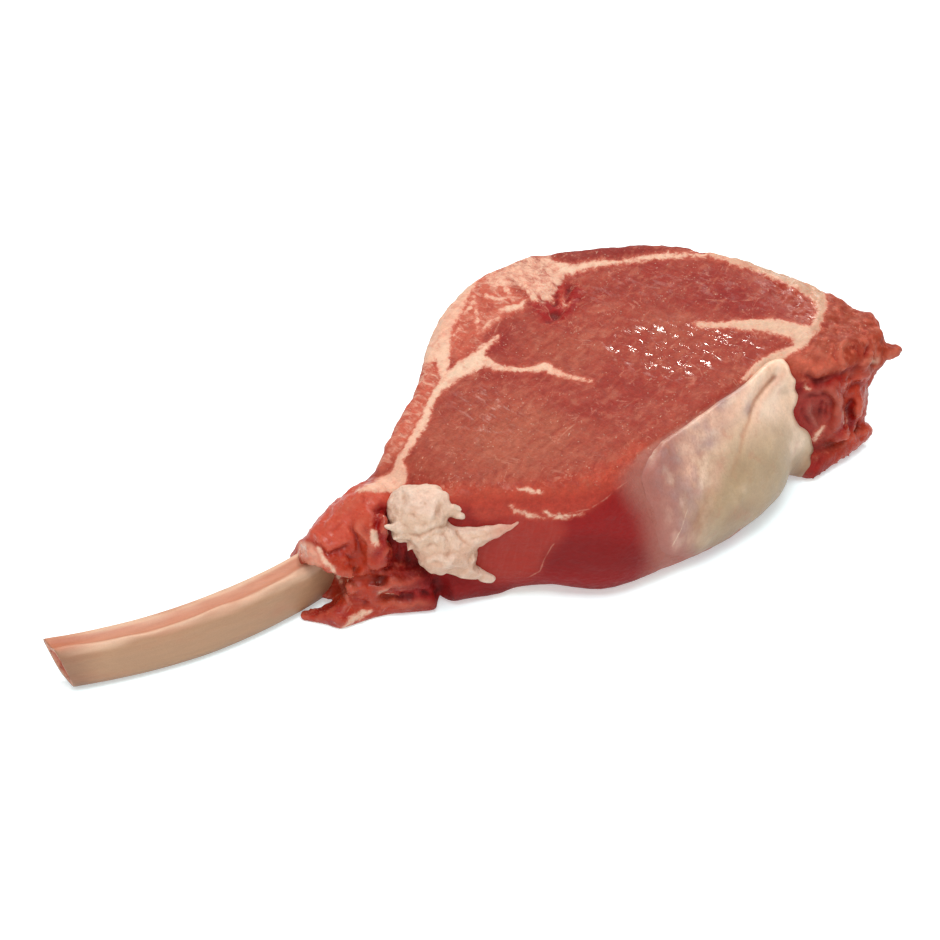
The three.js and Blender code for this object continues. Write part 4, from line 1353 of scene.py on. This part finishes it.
def sheet_colour(points, px, py, small_hollow, leftward, fading):
    """Cream on the right, darker below as painted shade, and peach, grey and mauve where it thins out
    to the left; painted shade lies in its creases and hollows, and painted highlights on its raised
    folds.
    """
    z = points[:, 2]
    wide = blotch(points, 14, 2)
    narrow = blotch(points, 5, 3)
    # Painted shade: the sheet turns darker downwards.
    lower = smoothstep(py + 0.25 * (px - 740), 398, 472)
    colour = mix(SHEET_CREAM, SHEET_LOW_SHADE, lower * 0.95)
    colour = mix(colour, SHEET_PEACH, leftward * (1 - 0.7 * lower) * 0.8)
    colour = mix(colour, MAUVE, leftward * smoothstep(wide, -0.4, 0.3) * 0.45)
    for name, shade, amount in SHEET_PATCH_TONES:
        for place in SHEET_PATCHES[name]:
            colour = mix(colour, shade, patch(place, px, py) * amount * (0.75 + 0.5 * narrow))
    colour = mix(colour, MAUVE, smoothstep(-(px - 0.1 * (py - 450)), -694, -664) * 0.9)
    colour = mix(colour, BELLY_RED, smoothstep(-(px - 0.2 * (py - 500)), -668, -630) * 0.6)
    # Painted shade near the floor.
    colour = mix(colour, SHEET_BROWN_AND_FOOT_SHADE, smoothstep(-z, -16, -2) * 0.95)
    fold, side_of_fold, along, _ = polyline_distance(SHEET_FOLD_PX, px, py)
    crease = np.exp(-(fold / 2.2) ** 2) * (1 - 0.6 * along)
    colour = mix(colour, SHEET_SHADOW, crease * 0.9)
    beside = np.exp(-(((side_of_fold - 6.0) / 4.0) ** 2)) * smoothstep(-fold, -14, -9)
    colour = mix(colour, SHEET_PEACH, beside * (1 - along) * 0.7)
    folds = line_relief(SHEET_FOLDS, px, py)
    # Painted highlight on the raised folds.
    colour = mix(colour, SHEET_PALE_AND_HIGHLIGHT, smoothstep(folds, 0.2, 0.7) * 0.4)
    cloud = blotch(points, 4, 4, (1, 1, 2.2))
    colour = mix(colour, SHEET_GREY, smoothstep(-cloud, -0.2, 0.6) * (0.06 + 0.45 * leftward))
    colour = mix(colour, SHEET_PALE_AND_HIGHLIGHT, smoothstep(cloud, -0.1, 0.7) * (0.06 + 0.30 * leftward))
    meat_tone = mix(BELLY_RED, MAUVE, region(SILVER, px, py, 17) * 0.85)
    colour = mix(colour, meat_tone, fading)
    colour = mix(colour, SHEET_SHADOW, smoothstep(-folds, 0.1, 0.6) * 0.5)
    # Painted shade in the hollows.
    colour = darkened(colour, 0.35 * smoothstep(small_hollow, 0.03, 0.35))
    return colour * (1 + 0.10 * narrow)[:, None]


def build_sheet():
    """The fat sheet, worked out from the meat's own field."""
    p = grid(SHEET_SPANS)
    sheet = sheet_field(p, meat_field(p))
    points, quads = largest_body(*surface_nets(sheet, p))
    normals = normals_of(points, quads)
    rings = Rings(quads, len(points))
    px, py = pixels_of(*points.T)
    relief = 0.22 * rough(points, 8, 2) + 0.06 * rough(points, 2.0, 2)
    relief = relief + line_relief(SHEET_FOLDS, px, py)
    moved = points + normals * relief[:, None]
    moved[:, 2] = np.maximum(moved[:, 2], 0.3)
    moved = rings.smooth(moved, 1)
    small_hollow = hollows_of(moved, normals_of(moved, quads), rings, 10)

    leftward = smoothstep(-(px + 0.25 * (py - 450)), -738, -700)
    inside_px = -outline_distance(closed_spline(SHEET_EDGE_PX, 4), px, py)
    fading = smoothstep(-px, -708, -680) * (1 - smoothstep(inside_px, 13, 40))
    fading = fading * smoothstep(py, 452, 480)
    thread_side, thread_shown = thread_marks(px, py)
    piece = make_mesh("fat_sheet_fine", moved, quads)
    set_colour(piece, "tone", sheet_colour(points, px, py, small_hollow, leftward, fading))
    set_value(piece, "thread_side", thread_side)
    set_value(piece, "thread_shown", thread_shown)
    set_value(piece, "thin", leftward)
    set_value(piece, "faded", fading)
    return piece


def build_lump():
    """The crumbly lump of fat."""
    p = grid(LUMP_SPANS)
    points, quads = largest_body(*surface_nets(lump_field(p), p))
    normals = normals_of(points, quads)
    rings = Rings(quads, len(points))
    px, py = pixels_of(*points.T)
    x, y, z = points.T
    folds = line_relief(LUMP_FOLDS, px, py) * smoothstep(-y, 28, 34)
    lobules = np.minimum(np.abs(tears(points, 7.5, 2)) * 3.0, 1)
    crumbs = np.minimum(np.abs(rough(points, 2.4, 3)) * 3.0, 1)
    relief = 0.55 * lobules + 0.30 * crumbs - 0.5 + folds
    moved = rings.smooth(points + normals * relief[:, None], 1)
    normals = normals_of(moved, quads)
    small_hollow = hollows_of(moved, normals, rings, SMALL_HOLLOW_ROUNDS)

    wide = blotch(points, 7, 2)
    colour = mix(LUMP_CREAM, FAT_PINK, smoothstep(wide, 0, 0.8) * 0.35)
    colour = mix(colour, LUMP_LOW, smoothstep(-z, -31, -24) * 0.9)
    # Painted highlight: upward faces and bulges of the lump are lighter.
    colour = mix(colour, LUMP_HIGHLIGHT_WHITE, smoothstep(normals[:, 2], 0.25, 0.85) * 0.55)
    colour = mix(colour, LUMP_HIGHLIGHT_WHITE, smoothstep(-small_hollow, 0.02, 0.35) * 0.6)
    thin_tail = smoothstep(x, -16, -6) * smoothstep(z, 16, 20)
    colour = mix(colour, PINK_FLESH, thin_tail * (0.32 + 0.25 * smoothstep(wide, -0.5, 0.5)))
    # Painted shade in hollows and creases, in tan and pink, and a painted highlight in cream on the
    # raised folds.
    colour = mix(colour, FAT_SHADE, smoothstep(small_hollow, 0.02, 0.3) * 0.8)
    colour = mix(colour, FAT_SHADE, smoothstep(-folds, 0.1, 0.8) * 0.6)
    colour = mix(colour, FAT_CREAM, smoothstep(folds, 0.1, 0.7) * 0.6)
    colour = mix(colour, PINK_FLESH, smoothstep(small_hollow, 0.2, 0.7) * 0.3)
    piece = make_mesh("fat_lump_fine", moved, quads)
    set_colour(piece, "tone", colour)
    return piece


# ---- the bone ----

BONE_AROUND = 72
BONE_ALONG = 210
BONE_SQUARENESS = 0.56  # 1 is a round section, and less is squarer
GROOVE_DEPTH = 1.5
SAW_SKEW = 0.5
SAW_RAKE = 0.22
SAW_RINGS = 14
MARROW_DEPTH = 1.6


def bone_axis(x):
    along = x - BONE_ARC_MIDDLE[0]
    drop = math.sqrt(BONE_ARC_RADIUS**2 - along**2)
    return np.array([x, BONE_ARC_MIDDLE[1] + BONE_ARC_RADIUS - drop, BONE_LIFT + BONE_HEIGHT / 2])


def bone_ring(share):
    """The bone's section at a share of its length, from the sawn tip (0) to the root (1)."""
    angles = np.arange(BONE_AROUND) * 2 * math.pi / BONE_AROUND
    cos, sin = np.cos(angles), np.sin(angles)
    x = BONE_TIP_X + (BONE_ROOT_X - BONE_TIP_X) * share
    centre = bone_axis(x)
    heading = math.asin((x - BONE_ARC_MIDDLE[0]) / BONE_ARC_RADIUS)
    half_width = BONE_WIDTH * (0.5 - 0.04 * math.cos(share * 5))
    half_height = BONE_HEIGHT * (0.5 - 0.012 * math.cos(share * 7))
    across = np.sign(cos) * np.abs(cos) ** BONE_SQUARENESS * half_width
    height = np.sign(sin) * np.abs(sin) ** BONE_SQUARENESS * half_height
    groove_place = across / half_width - 0.1 + 0.3 * math.sin(share * 4)
    groove = np.exp(-((groove_place / 0.42) ** 2)) * (sin > 0) * np.abs(sin) ** 3
    height = height - GROOVE_DEPTH * groove
    ridge_place = -0.70 + 0.10 * math.sin(share * 17) + 0.05 * math.sin(share * 41)
    ridge = np.exp(-(((across / half_width - ridge_place) / 0.20) ** 2)) * (sin > 0.3)
    height = height + (0.7 + 0.3 * math.sin(share * 29 + 1)) * ridge
    sawn = 1 - smoothstep(share, 0, 0.12)
    along = -sawn * (SAW_SKEW * across + SAW_RAKE * height)
    return np.stack([
        centre[0] - math.sin(heading) * across + math.cos(heading) * along,
        centre[1] + math.cos(heading) * across + math.sin(heading) * along,
        centre[2] + height,
    ], axis=1)


def bone_mesh():
    """Points, quads, and the share of the bone's length, which is below 0 on the sawn end."""
    shares = [r / (BONE_ALONG - 1) for r in range(BONE_ALONG)]
    rings = [bone_ring(share) for share in shares]
    first, last = rings[0], rings[-1]
    tip, root = first.mean(axis=0), last.mean(axis=0)
    caps = []
    cap_shares = []
    for i in range(SAW_RINGS):
        inward = 1 - (i + 1) / SAW_RINGS
        hollow = MARROW_DEPTH * smoothstep(1 - inward, 0.2, 0.5)
        caps.append(tip + (first - tip) * inward + np.array([hollow, 0, 0]))
        cap_shares.append(-(1 - inward))
    bevel = tip + (first - tip) * 0.985 - np.array([0.12, 0, 0])
    root_caps = [root + (last - root) * k for k in (0.66, 0.33, 0.02)]
    all_rings = caps[::-1] + [bevel] + rings[1:] + root_caps
    all_shares = cap_shares[::-1] + [-0.01] + shares[1:] + [1.0] * len(root_caps)
    quads = []
    for r in range(len(all_rings) - 1):
        a = r * BONE_AROUND + np.arange(BONE_AROUND)
        b = r * BONE_AROUND + (np.arange(BONE_AROUND) + 1) % BONE_AROUND
        quads.append(np.stack([a, b, b + BONE_AROUND, a + BONE_AROUND], axis=1))
    points = np.concatenate(all_rings)
    quads = np.concatenate(quads)
    share = np.repeat(all_shares, BONE_AROUND)
    from_middle = points - bone_axis(-90)
    outward = (normals_of(points, quads) * from_middle)[(share > 0.4) & (share < 0.6)].sum()
    return points, quads if outward > 0 else quads[:, ::-1], share


def bone_colour(points, normals, share, hollow):
    """Cream below, pinkish on top, with a painted highlight along the ridge and on bulges, painted
    shade on the underside, and red marrow in the sawn end.
    """
    wide = blotch(points, 16, 2, (2.5, 1, 1))
    stain = blotch(points, 5, 3, (3, 1, 1))
    top = smoothstep(normals[:, 2], 0.25, 0.75)
    edge = smoothstep(normals[:, 2], 0.2, 0.4) * smoothstep(-normals[:, 2], -0.75, -0.5)
    low = smoothstep(-normals[:, 2], 0.0, 0.5) * smoothstep(share, 0, 0.02)
    near_tip = 1 - smoothstep(share, 0.0, 0.14)
    colour = mix(BONE_SIDE, BONE_TOP, top)
    colour = mix(colour, BONE_RED, top * smoothstep(wide, -0.1, 0.5) * 0.45)
    colour = mix(colour, BONE_RED, top * smoothstep(hollow, 0.02, 0.25) * 0.55)
    # Painted highlight on the bulges of the top and along the ridge.
    colour = mix(colour, BONE_RIDGE_HIGHLIGHT, smoothstep(-hollow, 0.02, 0.22) * top * 0.6)
    colour = mix(colour, BONE_RED, (0.35 + 0.65 * top) * smoothstep(stain, 0.15, 0.5) * 0.45)
    colour = mix(colour, BONE_RED, edge * smoothstep(wide, -0.3, 0.5) * 0.35)
    colour = mix(colour, BONE_RIDGE_HIGHLIGHT, edge * smoothstep(-wide, -0.4, 0.4) * 0.75)
    colour = mix(colour, BONE_RED, near_tip * (0.25 + 0.45 * top))
    colour = darkened(colour, 0.3 * near_tip * (1 - top))
    # Painted shade on the underside.
    colour = darkened(colour, 0.25 * low)
    colour = mix(colour, FAT_PINK, smoothstep(share, 0.78, 0.86) * top * 0.5)
    colour = mix(colour, SAWN_CREAM, smoothstep(-share, 0.005, 0.03) * 0.9)
    marrow = smoothstep(-share, 0.2, 0.38) * (0.75 + 0.25 * smoothstep(stain, -0.3, 0.3))
    return mix(colour, MARROW, marrow)


def build_bone():
    """The scraped rib: a flattened bar with a shallow groove on top, and a porous sawn end."""
    points, quads, share = bone_mesh()
    normals = normals_of(points, quads)
    scraped = 0.22 * rough(points, 11, 2, (4, 1, 1)) + 0.07 * rough(points, 2.5, 2, (5, 1, 1))
    relief = smoothstep(share, 0.0, 0.02) * scraped
    relief = relief + smoothstep(-share, 0.1, 0.3) * 0.3 * tears(points, 1.1, 2)
    moved = points + normals * relief[:, None]
    moved[:, 2] = np.maximum(moved[:, 2], 0.02)
    normals = normals_of(moved, quads)
    hollow = hollows_of(moved, normals, Rings(quads, len(moved)), 20)
    piece = make_mesh("rib_bone_fine", moved, quads)
    set_colour(piece, "tone", bone_colour(points, normals, share, hollow))
    set_value(piece, "sawn", smoothstep(-share, 0.005, 0.08))
    return piece


# ---- materials ----


class Shader:
    """Short calls for building one material's nodes. Sizes are in millimetres."""

    def __init__(self, name):
        self.material = bpy.data.materials.new(name)
        self.material.use_nodes = True
        self.tree = self.material.node_tree
        self.tree.nodes.clear()
        out = self.add("ShaderNodeOutputMaterial")
        self.skin = self.add("ShaderNodeBsdfPrincipled")
        self.tree.links.new(self.skin.outputs[0], out.inputs["Surface"])
        place = self.add("ShaderNodeTexCoord").outputs["Object"]
        self.mm = self.scaled(place, (0.001, 0.001, 0.001))

    def add(self, kind):
        return self.tree.nodes.new(kind)

    def put(self, socket, value):
        if isinstance(value, bpy.types.NodeSocket):
            self.tree.links.new(value, socket)
        elif hasattr(value, "__len__") and len(value) == 3 and socket.type == "RGBA":
            socket.default_value = (*value, 1.0)
        else:
            socket.default_value = value

    def scaled(self, vector, size, turn=(0.0, 0.0, 0.0)):
        """A place turned back by some degrees, then divided by a size on each axis."""
        node = self.add("ShaderNodeMapping")
        node.vector_type = "TEXTURE"
        self.put(node.inputs["Vector"], vector)
        node.inputs["Rotation"].default_value = [math.radians(a) for a in turn]
        node.inputs["Scale"].default_value = size
        return node.outputs[0]

    def math(self, operation, a, b=0.0):
        node = self.add("ShaderNodeMath")
        node.operation = operation
        self.put(node.inputs[0], a)
        self.put(node.inputs[1], b)
        return node.outputs[0]

    def times(self, first, *others):
        for other in others:
            first = self.math("MULTIPLY", first, other)
        return first

    def plus(self, a, b):
        return self.math("ADD", a, b)

    def minus(self, a, b):
        return self.math("SUBTRACT", a, b)

    def step(self, value, low, high, to_low=0.0, to_high=1.0):
        """A smooth step between two values."""
        node = self.add("ShaderNodeMapRange")
        node.interpolation_type = "SMOOTHSTEP"
        self.put(node.inputs["Value"], value)
        node.inputs["From Min"].default_value = low
        node.inputs["From Max"].default_value = high
        node.inputs["To Min"].default_value = to_low
        node.inputs["To Max"].default_value = to_high
        return node.outputs["Result"]

    def noise(self, size, detail=2.0, roughness=0.5, stretch=(1, 1, 1), turn=(0, 0, 0), warp=0.0):
        node = self.add("ShaderNodeTexNoise")
        sizes = [size * s for s in stretch]
        self.put(node.inputs["Vector"], self.scaled(self.mm, sizes, turn))
        node.inputs["Scale"].default_value = 1.0
        node.inputs["Detail"].default_value = detail
        node.inputs["Roughness"].default_value = roughness
        node.inputs["Distortion"].default_value = warp
        return node.outputs["Fac"]

    def specks(self, size, radius):
        """Small round specks, one to an irregular cell. Their radius is in cell sizes."""
        node = self.add("ShaderNodeTexVoronoi")
        self.put(node.inputs["Vector"], self.scaled(self.mm, (size,) * 3))
        node.inputs["Scale"].default_value = 1.0
        return self.step(node.outputs["Distance"], radius * 1.6, radius * 0.6)

    def fine_lines(self, size, width, warp=0.0):
        """Thin winding lines, where a noise crosses its middle."""
        level = self.math("ABSOLUTE", self.minus(self.noise(size, 4, 0.62, warp=warp), 0.5))
        return self.step(level, width, width * 0.25)

    def attribute(self, name, output="Fac"):
        node = self.add("ShaderNodeAttribute")
        node.attribute_name = name
        return node.outputs[output]

    def mix(self, share, a, b):
        node = self.add("ShaderNodeMix")
        node.data_type = "RGBA"
        self.put(node.inputs["Factor"], share)
        self.put(node.inputs[6], a)
        self.put(node.inputs[7], b)
        return node.outputs[2]

    def blend(self, share, a, b):
        """A number between two numbers."""
        node = self.add("ShaderNodeMix")
        node.data_type = "FLOAT"
        self.put(node.inputs["Factor"], share)
        self.put(node.inputs[2], a)
        self.put(node.inputs[3], b)
        return node.outputs[0]

    def shade(self, colour, amount):
        """A colour made lighter or darker by a factor."""
        node = self.add("ShaderNodeVectorMath")
        node.operation = "SCALE"
        self.put(node.inputs[0], colour)
        self.put(node.inputs["Scale"], amount)
        return node.outputs[0]

    def bump(self, height, millimetres):
        node = self.add("ShaderNodeBump")
        node.inputs["Strength"].default_value = 1.0
        node.inputs["Distance"].default_value = millimetres / 1000
        self.put(node.inputs["Height"], height)
        return node.outputs[0]

    def threads(self, colour, pale, share):
        """Thin threads of membrane laid over a colour. Also returns where they are."""
        side = self.math("ABSOLUTE", self.attribute("thread_side"))
        wobble = self.noise(1.6, 3, 0.6)
        width = self.step(self.plus(side, self.times(wobble, 2.4)), 2.3, 0.9)
        broken = self.step(self.noise(2.6, 2), 0.34, 0.58)
        where = self.times(width, self.attribute("thread_shown"), broken, share)
        return self.mix(where, colour, pale), where

    def finish(self, colour, roughness, normal, gloss, through, through_colour, through_metres):
        """Link the looks, and set gloss and the light that passes through as plain values."""
        skin = self.skin.inputs
        self.put(skin["Base Color"], colour)
        self.put(skin["Roughness"], roughness)
        self.put(skin["Normal"], normal)
        skin["Specular IOR Level"].default_value = gloss
        skin["Subsurface Weight"].default_value = through
        skin["Subsurface Radius"].default_value = through_colour
        skin["Subsurface Scale"].default_value = through_metres
        return self.material


GLINT_TURN = (0, 0, -63)  # the way the fibres run on the cut face, in degrees


def flesh_colour(s, grain, coarse, smooth_parts):
    """Fine grain, bundles of fibres, thin lines of marbling, streaks, flecks, and specks that are
    partly painted glints.
    """
    cut = s.attribute("cut_face")
    torn = s.attribute("torn")
    mottle = s.noise(3.0, 4, 0.68, stretch=(1.7, 0.9, 1), turn=(0, 0, 30), warp=0.5)
    flesh = s.attribute("tone", "Color")
    flesh = s.shade(flesh, s.blend(smooth_parts, s.step(grain, 0.25, 0.75, 0.89, 1.11), 1.0))
    flesh = s.shade(flesh, s.blend(smooth_parts, s.step(coarse, 0.30, 0.70, 0.90, 1.10), 1.0))
    flesh = s.mix(s.times(s.step(mottle, 0.50, 0.68), cut, 0.48), flesh, ROSE_PALE)
    flesh = s.mix(s.times(s.step(mottle, 0.50, 0.32), cut, 0.40), flesh, ROSE_DEEP)
    lines = s.times(s.fine_lines(8.0, 0.020, warp=0.9), s.step(s.noise(6.0, 3, 0.6), 0.48, 0.66))
    flesh = s.mix(s.times(lines, cut, 0.28), flesh, FAT_PINK)
    fleck = s.step(s.noise(2.0, 4, 0.72, stretch=(1.9, 0.8, 1), turn=(0, 0, 40)), 0.63, 0.76)
    flesh = s.mix(s.times(fleck, cut, 0.75), flesh, FAT_CREAM * 0.9)
    # Pale specks: partly fat flecks, partly painted glints.
    specks = s.times(s.specks(1.5, 0.14), s.step(s.noise(5.0, 3, 0.6), 0.46, 0.62))
    flesh = s.mix(s.times(specks, cut, 0.35), flesh, FAT_CREAM)
    shred = s.step(s.noise(2.2, 4, 0.66, stretch=(0.8, 0.8, 2.2), turn=(20, 10, 0)), 0.56, 0.70)
    flesh = s.mix(s.times(shred, torn, 0.40), flesh, TORN_PALE * 1.2)
    gloom = s.step(s.noise(3.4, 4, 0.7), 0.50, 0.34)
    flesh = s.mix(s.times(gloom, torn, 0.20), flesh, CREASE_RED)
    fibres = s.noise(1.3, 3, 0.6, stretch=(0.7, 0.7, 7.0), turn=(0, 12, 0), warp=0.4)
    haze = s.times(s.step(fibres, 0.45, 0.75), s.attribute("film"), 0.22)
    return s.mix(haze, flesh, MAUVE)


def fat_over(s, flesh, grain, coarse):
    """Seams of fat with soft ragged edges, and marbled parts where fat and flesh run together."""
    marble = s.attribute("marble")
    ragged = s.times(s.minus(s.noise(2.2, 5, 0.72, warp=0.5), 0.5), 11.0)
    gap = s.plus(s.attribute("fat_gap"), ragged)
    flesh = s.mix(s.times(s.step(gap, 4.0, -0.5), 0.55), flesh, PINK_FLESH)
    veins = s.noise(3.2, 5, 0.66, stretch=(0.8, 1.5, 1.5), turn=(0, 0, 28), warp=0.7)
    marbled = s.step(s.plus(veins, s.times(marble, 0.55)), 0.66, 0.98)
    marbled = s.times(marbled, s.step(marble, 0.02, 0.2))
    any_fat = s.math("MAXIMUM", s.step(gap, 1.6, -1.6), marbled)
    fat = s.attribute("fat_tone", "Color")
    fat = s.shade(fat, s.step(coarse, 0.3, 0.7, 0.90, 1.06))
    fat = s.shade(fat, s.step(grain, 0.3, 0.7, 0.93, 1.05))
    fat = s.mix(s.times(s.step(gap, -5.0, 0.0), 0.35), fat, FAT_PINK)
    fat = s.mix(s.times(s.step(s.noise(3.6, 4, 0.66), 0.50, 0.70), 0.38), fat, PINK_FLESH)
    fat = s.mix(s.times(s.fine_lines(4.5, 0.030, warp=0.5), marble, 0.6), fat, PINK_FLESH)
    return s.mix(any_fat, flesh, fat), any_fat


def meat_material():
    """Moist flesh and fat. Juice fills the grain in islands, and glints where it bulges."""
    s = Shader("raw_meat")
    sleek = s.attribute("sleek")
    grain = s.noise(0.55, 4, 0.7)
    coarse = s.noise(1.7, 3, 0.6, stretch=(1.6, 1, 1), turn=(0, 0, 35))
    smooth_parts = s.times(s.math("MAXIMUM", s.attribute("torn"), sleek), 0.75)
    flesh = flesh_colour(s, grain, coarse, smooth_parts)
    flesh, thread = s.threads(flesh, FAT_PINK, 0.38)
    colour, any_fat = fat_over(s, flesh, grain, coarse)

    juice = s.noise(2.8, 3, 0.62, stretch=(1.7, 0.9, 1.0), turn=GLINT_TURN)
    everywhere = s.plus(s.times(s.attribute("wet"), 0.88), 0.12)
    pool = s.times(s.step(juice, 0.50, 0.60), everywhere)
    wet = s.times(pool, s.minus(1.0, s.times(any_fat, 0.7)))
    dry_rough = s.blend(s.attribute("glossy"), s.blend(sleek, 0.70, 0.66), 0.40)
    swell = s.noise(1.3, 1, 0.4, stretch=(2.4, 1.0, 1.0), turn=GLINT_TURN)
    height = s.plus(s.times(grain, 0.22), s.times(coarse, 0.45))
    height = s.times(height, s.minus(1.0, s.times(pool, 0.85)), s.minus(1.0, smooth_parts))
    height = s.plus(height, s.times(swell, 0.8))
    height = s.plus(height, s.times(thread, 0.3))
    return s.finish(
        colour, s.blend(wet, dry_rough, 0.11), s.bump(height, 0.45),
        0.20, 0.22, (1.0, 0.22, 0.14), 0.0022,
    )


def fat_material(name, crumbs, relief, thin=False):
    """Soft fat: creamy, slightly translucent, with a fine crumbly or fibrous surface."""
    s = Shader(name)
    fine = s.noise(0.8, 3, 0.6)
    lumps = s.noise(crumbs, 3, 0.6)
    colour = s.attribute("tone", "Color")
    colour = s.shade(colour, s.step(fine, 0.3, 0.7, 0.95, 1.04))
    colour = s.shade(colour, s.step(lumps, 0.3, 0.7, 0.95, 1.05))
    blush = s.times(s.step(s.noise(5.0, 3, 0.6), 0.55, 0.72), 0.16)
    colour = s.mix(blush, colour, SALMON)
    height = s.plus(s.times(fine, 0.5), lumps)
    roughness = s.blend(lumps, 0.30, 0.56)
    if thin:
        fibres = s.noise(0.9, 3, 0.6, stretch=(0.8, 0.8, 8.0), turn=(0, 14, 0))
        veil = s.times(s.step(fibres, 0.40, 0.70), s.attribute("thin"), 0.25)
        colour = s.mix(veil, colour, MAUVE * 0.85)
        colour, thread = s.threads(colour, FAT_CREAM, 0.8)
        height = s.plus(height, s.times(thread, 0.6))
        height = s.plus(height, s.times(fibres, 0.35))
        roughness = s.blend(s.attribute("faded"), roughness, 0.66)
    bump = s.bump(height, relief)
    return s.finish(colour, roughness, bump, 0.40, 0.15, (1.0, 0.5, 0.35), 0.0014)


def bone_material():
    """Satin bone with streaks along it, and red pores in the sawn end."""
    s = Shader("bone")
    along = s.noise(1.6, 3, 0.6, stretch=(9, 1, 1))
    fine = s.noise(0.5, 3, 0.6)
    colour = s.attribute("tone", "Color")
    colour = s.shade(colour, s.step(along, 0.3, 0.7, 0.95, 1.04))
    colour = s.shade(colour, s.step(fine, 0.3, 0.7, 0.97, 1.03))
    blush = s.times(s.step(s.noise(7, 3, 0.6, stretch=(3, 1, 1)), 0.52, 0.72), 0.22)
    colour = s.mix(blush, colour, BONE_RED)
    pores = s.step(s.noise(0.9, 2, 0.6), 0.56, 0.64)
    red_pores = s.times(pores, s.attribute("sawn"), 0.7)
    colour = s.mix(red_pores, colour, MARROW * 0.8)
    height = s.plus(s.times(along, 0.6), s.times(fine, 0.3))
    height = s.minus(height, s.times(red_pores, 1.5))
    roughness = s.blend(along, 0.42, 0.56)
    bump = s.bump(height, 0.22)
    return s.finish(colour, roughness, bump, 0.35, 0.10, (1.0, 0.6, 0.4), 0.0012)


# ---- the pieces ----


def finish_piece(piece, material, node):
    piece.data.materials.append(material)
    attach(piece, "root")
    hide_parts(node)


meat = build_meat()
finish_piece(meat, meat_material(), "meat")
sheet = build_sheet()
finish_piece(sheet, fat_material("sheet_fat", 4.0, 0.25, thin=True), "fat_sheet")
lump = build_lump()
finish_piece(lump, fat_material("soft_fat", 1.3, 0.6), "fat_lump")
bone = build_bone()
finish_piece(bone, bone_material(), "rib_bone")

# ---- floor, light and camera, in metres ----

FLOOR_HALF = 3.0
FLOOR_DROP = 0.0002  # the floor stays just clear of the underside
FLOOR_COLOUR = (0.74, 0.88, 0.91, 1.0)
FLOOR_GLOW = (0.96, 0.98, 1.0, 1.0)
FLOOR_GLOW_STRENGTH = 0.35
LIGHTS_LOOK_AT = Vector((0.02, 0.0, 0.02))
# The window's glints fall on the middle of the cut face, so that light stands a little further along.
WINDOW_SHIFT = Vector((0.075, 0.0, 0.02))
WORLD_COLOUR = (1.0, 0.975, 0.94, 1.0)
WORLD_STRENGTH = 0.5


def floor_plane():
    mesh = bpy.data.meshes.new("floor")
    half = FLOOR_HALF
    corners = [(-half, -half, 0), (half, -half, 0), (half, half, 0), (-half, half, 0)]
    mesh.from_pydata(corners, [], [(0, 1, 2, 3)])
    material = bpy.data.materials.new("floor")
    material.use_nodes = True
    skin = material.node_tree.nodes["Principled BSDF"].inputs
    skin["Base Color"].default_value = FLOOR_COLOUR
    skin["Emission Color"].default_value = FLOOR_GLOW
    skin["Emission Strength"].default_value = FLOOR_GLOW_STRENGTH
    skin["Roughness"].default_value = 0.9
    skin["Specular IOR Level"].default_value = 0.1
    mesh.materials.append(material)
    plane = bpy.data.objects.new("floor", mesh)
    plane.location.z = -FLOOR_DROP
    bpy.context.scene.collection.objects.link(plane)


def area_light(name, azimuth, elevation, distance, size, power, colour=(1.0, 1.0, 1.0)):
    """A square light that looks at the object."""
    a, e = math.radians(azimuth), math.radians(elevation)
    back = Vector((math.sin(a) * math.cos(e), -math.cos(a) * math.cos(e), math.sin(e)))
    data = bpy.data.lights.new(name, "AREA")
    data.size = size
    data.energy = power
    data.color = colour
    light = bpy.data.objects.new(name, data)
    light.location = LIGHTS_LOOK_AT + back * distance
    light.rotation_mode = "QUATERNION"
    light.rotation_quaternion = (-back).to_track_quat("-Z", "Y")
    bpy.context.scene.collection.objects.link(light)
    return light


floor_plane()
area_light("overhead", -30, 74, 1.3, 0.6, 12.0)
area_light("front_fill", -40, 25, 1.6, 1.2, 5.0, (1.0, 0.98, 0.96))
window = area_light("window", 147.5, 37.8, 1.1, 0.11, 7.0, (1.0, 0.94, 0.86))
window.location += WINDOW_SHIFT

world = bpy.data.worlds.new("studio")
world.use_nodes = True
background = world.node_tree.nodes["Background"].inputs
background["Color"].default_value = WORLD_COLOUR
background["Strength"].default_value = WORLD_STRENGTH
scene = bpy.context.scene
scene.world = world
scene.view_settings.view_transform = "Standard"

camera_data = bpy.data.cameras.new("camera")
camera_data.lens = LENS_MM
camera_data.sensor_width = SENSOR_MM
camera = bpy.data.objects.new("camera", camera_data)
camera.location = Vector((CAMERA_PLACE_MM + SHIFT_MM) / 1000)
camera.rotation_mode = "QUATERNION"
camera.rotation_quaternion = Vector(-VIEW_BACK).to_track_quat("-Z", "Y")
scene.collection.objects.link(camera)
scene.camera = camera
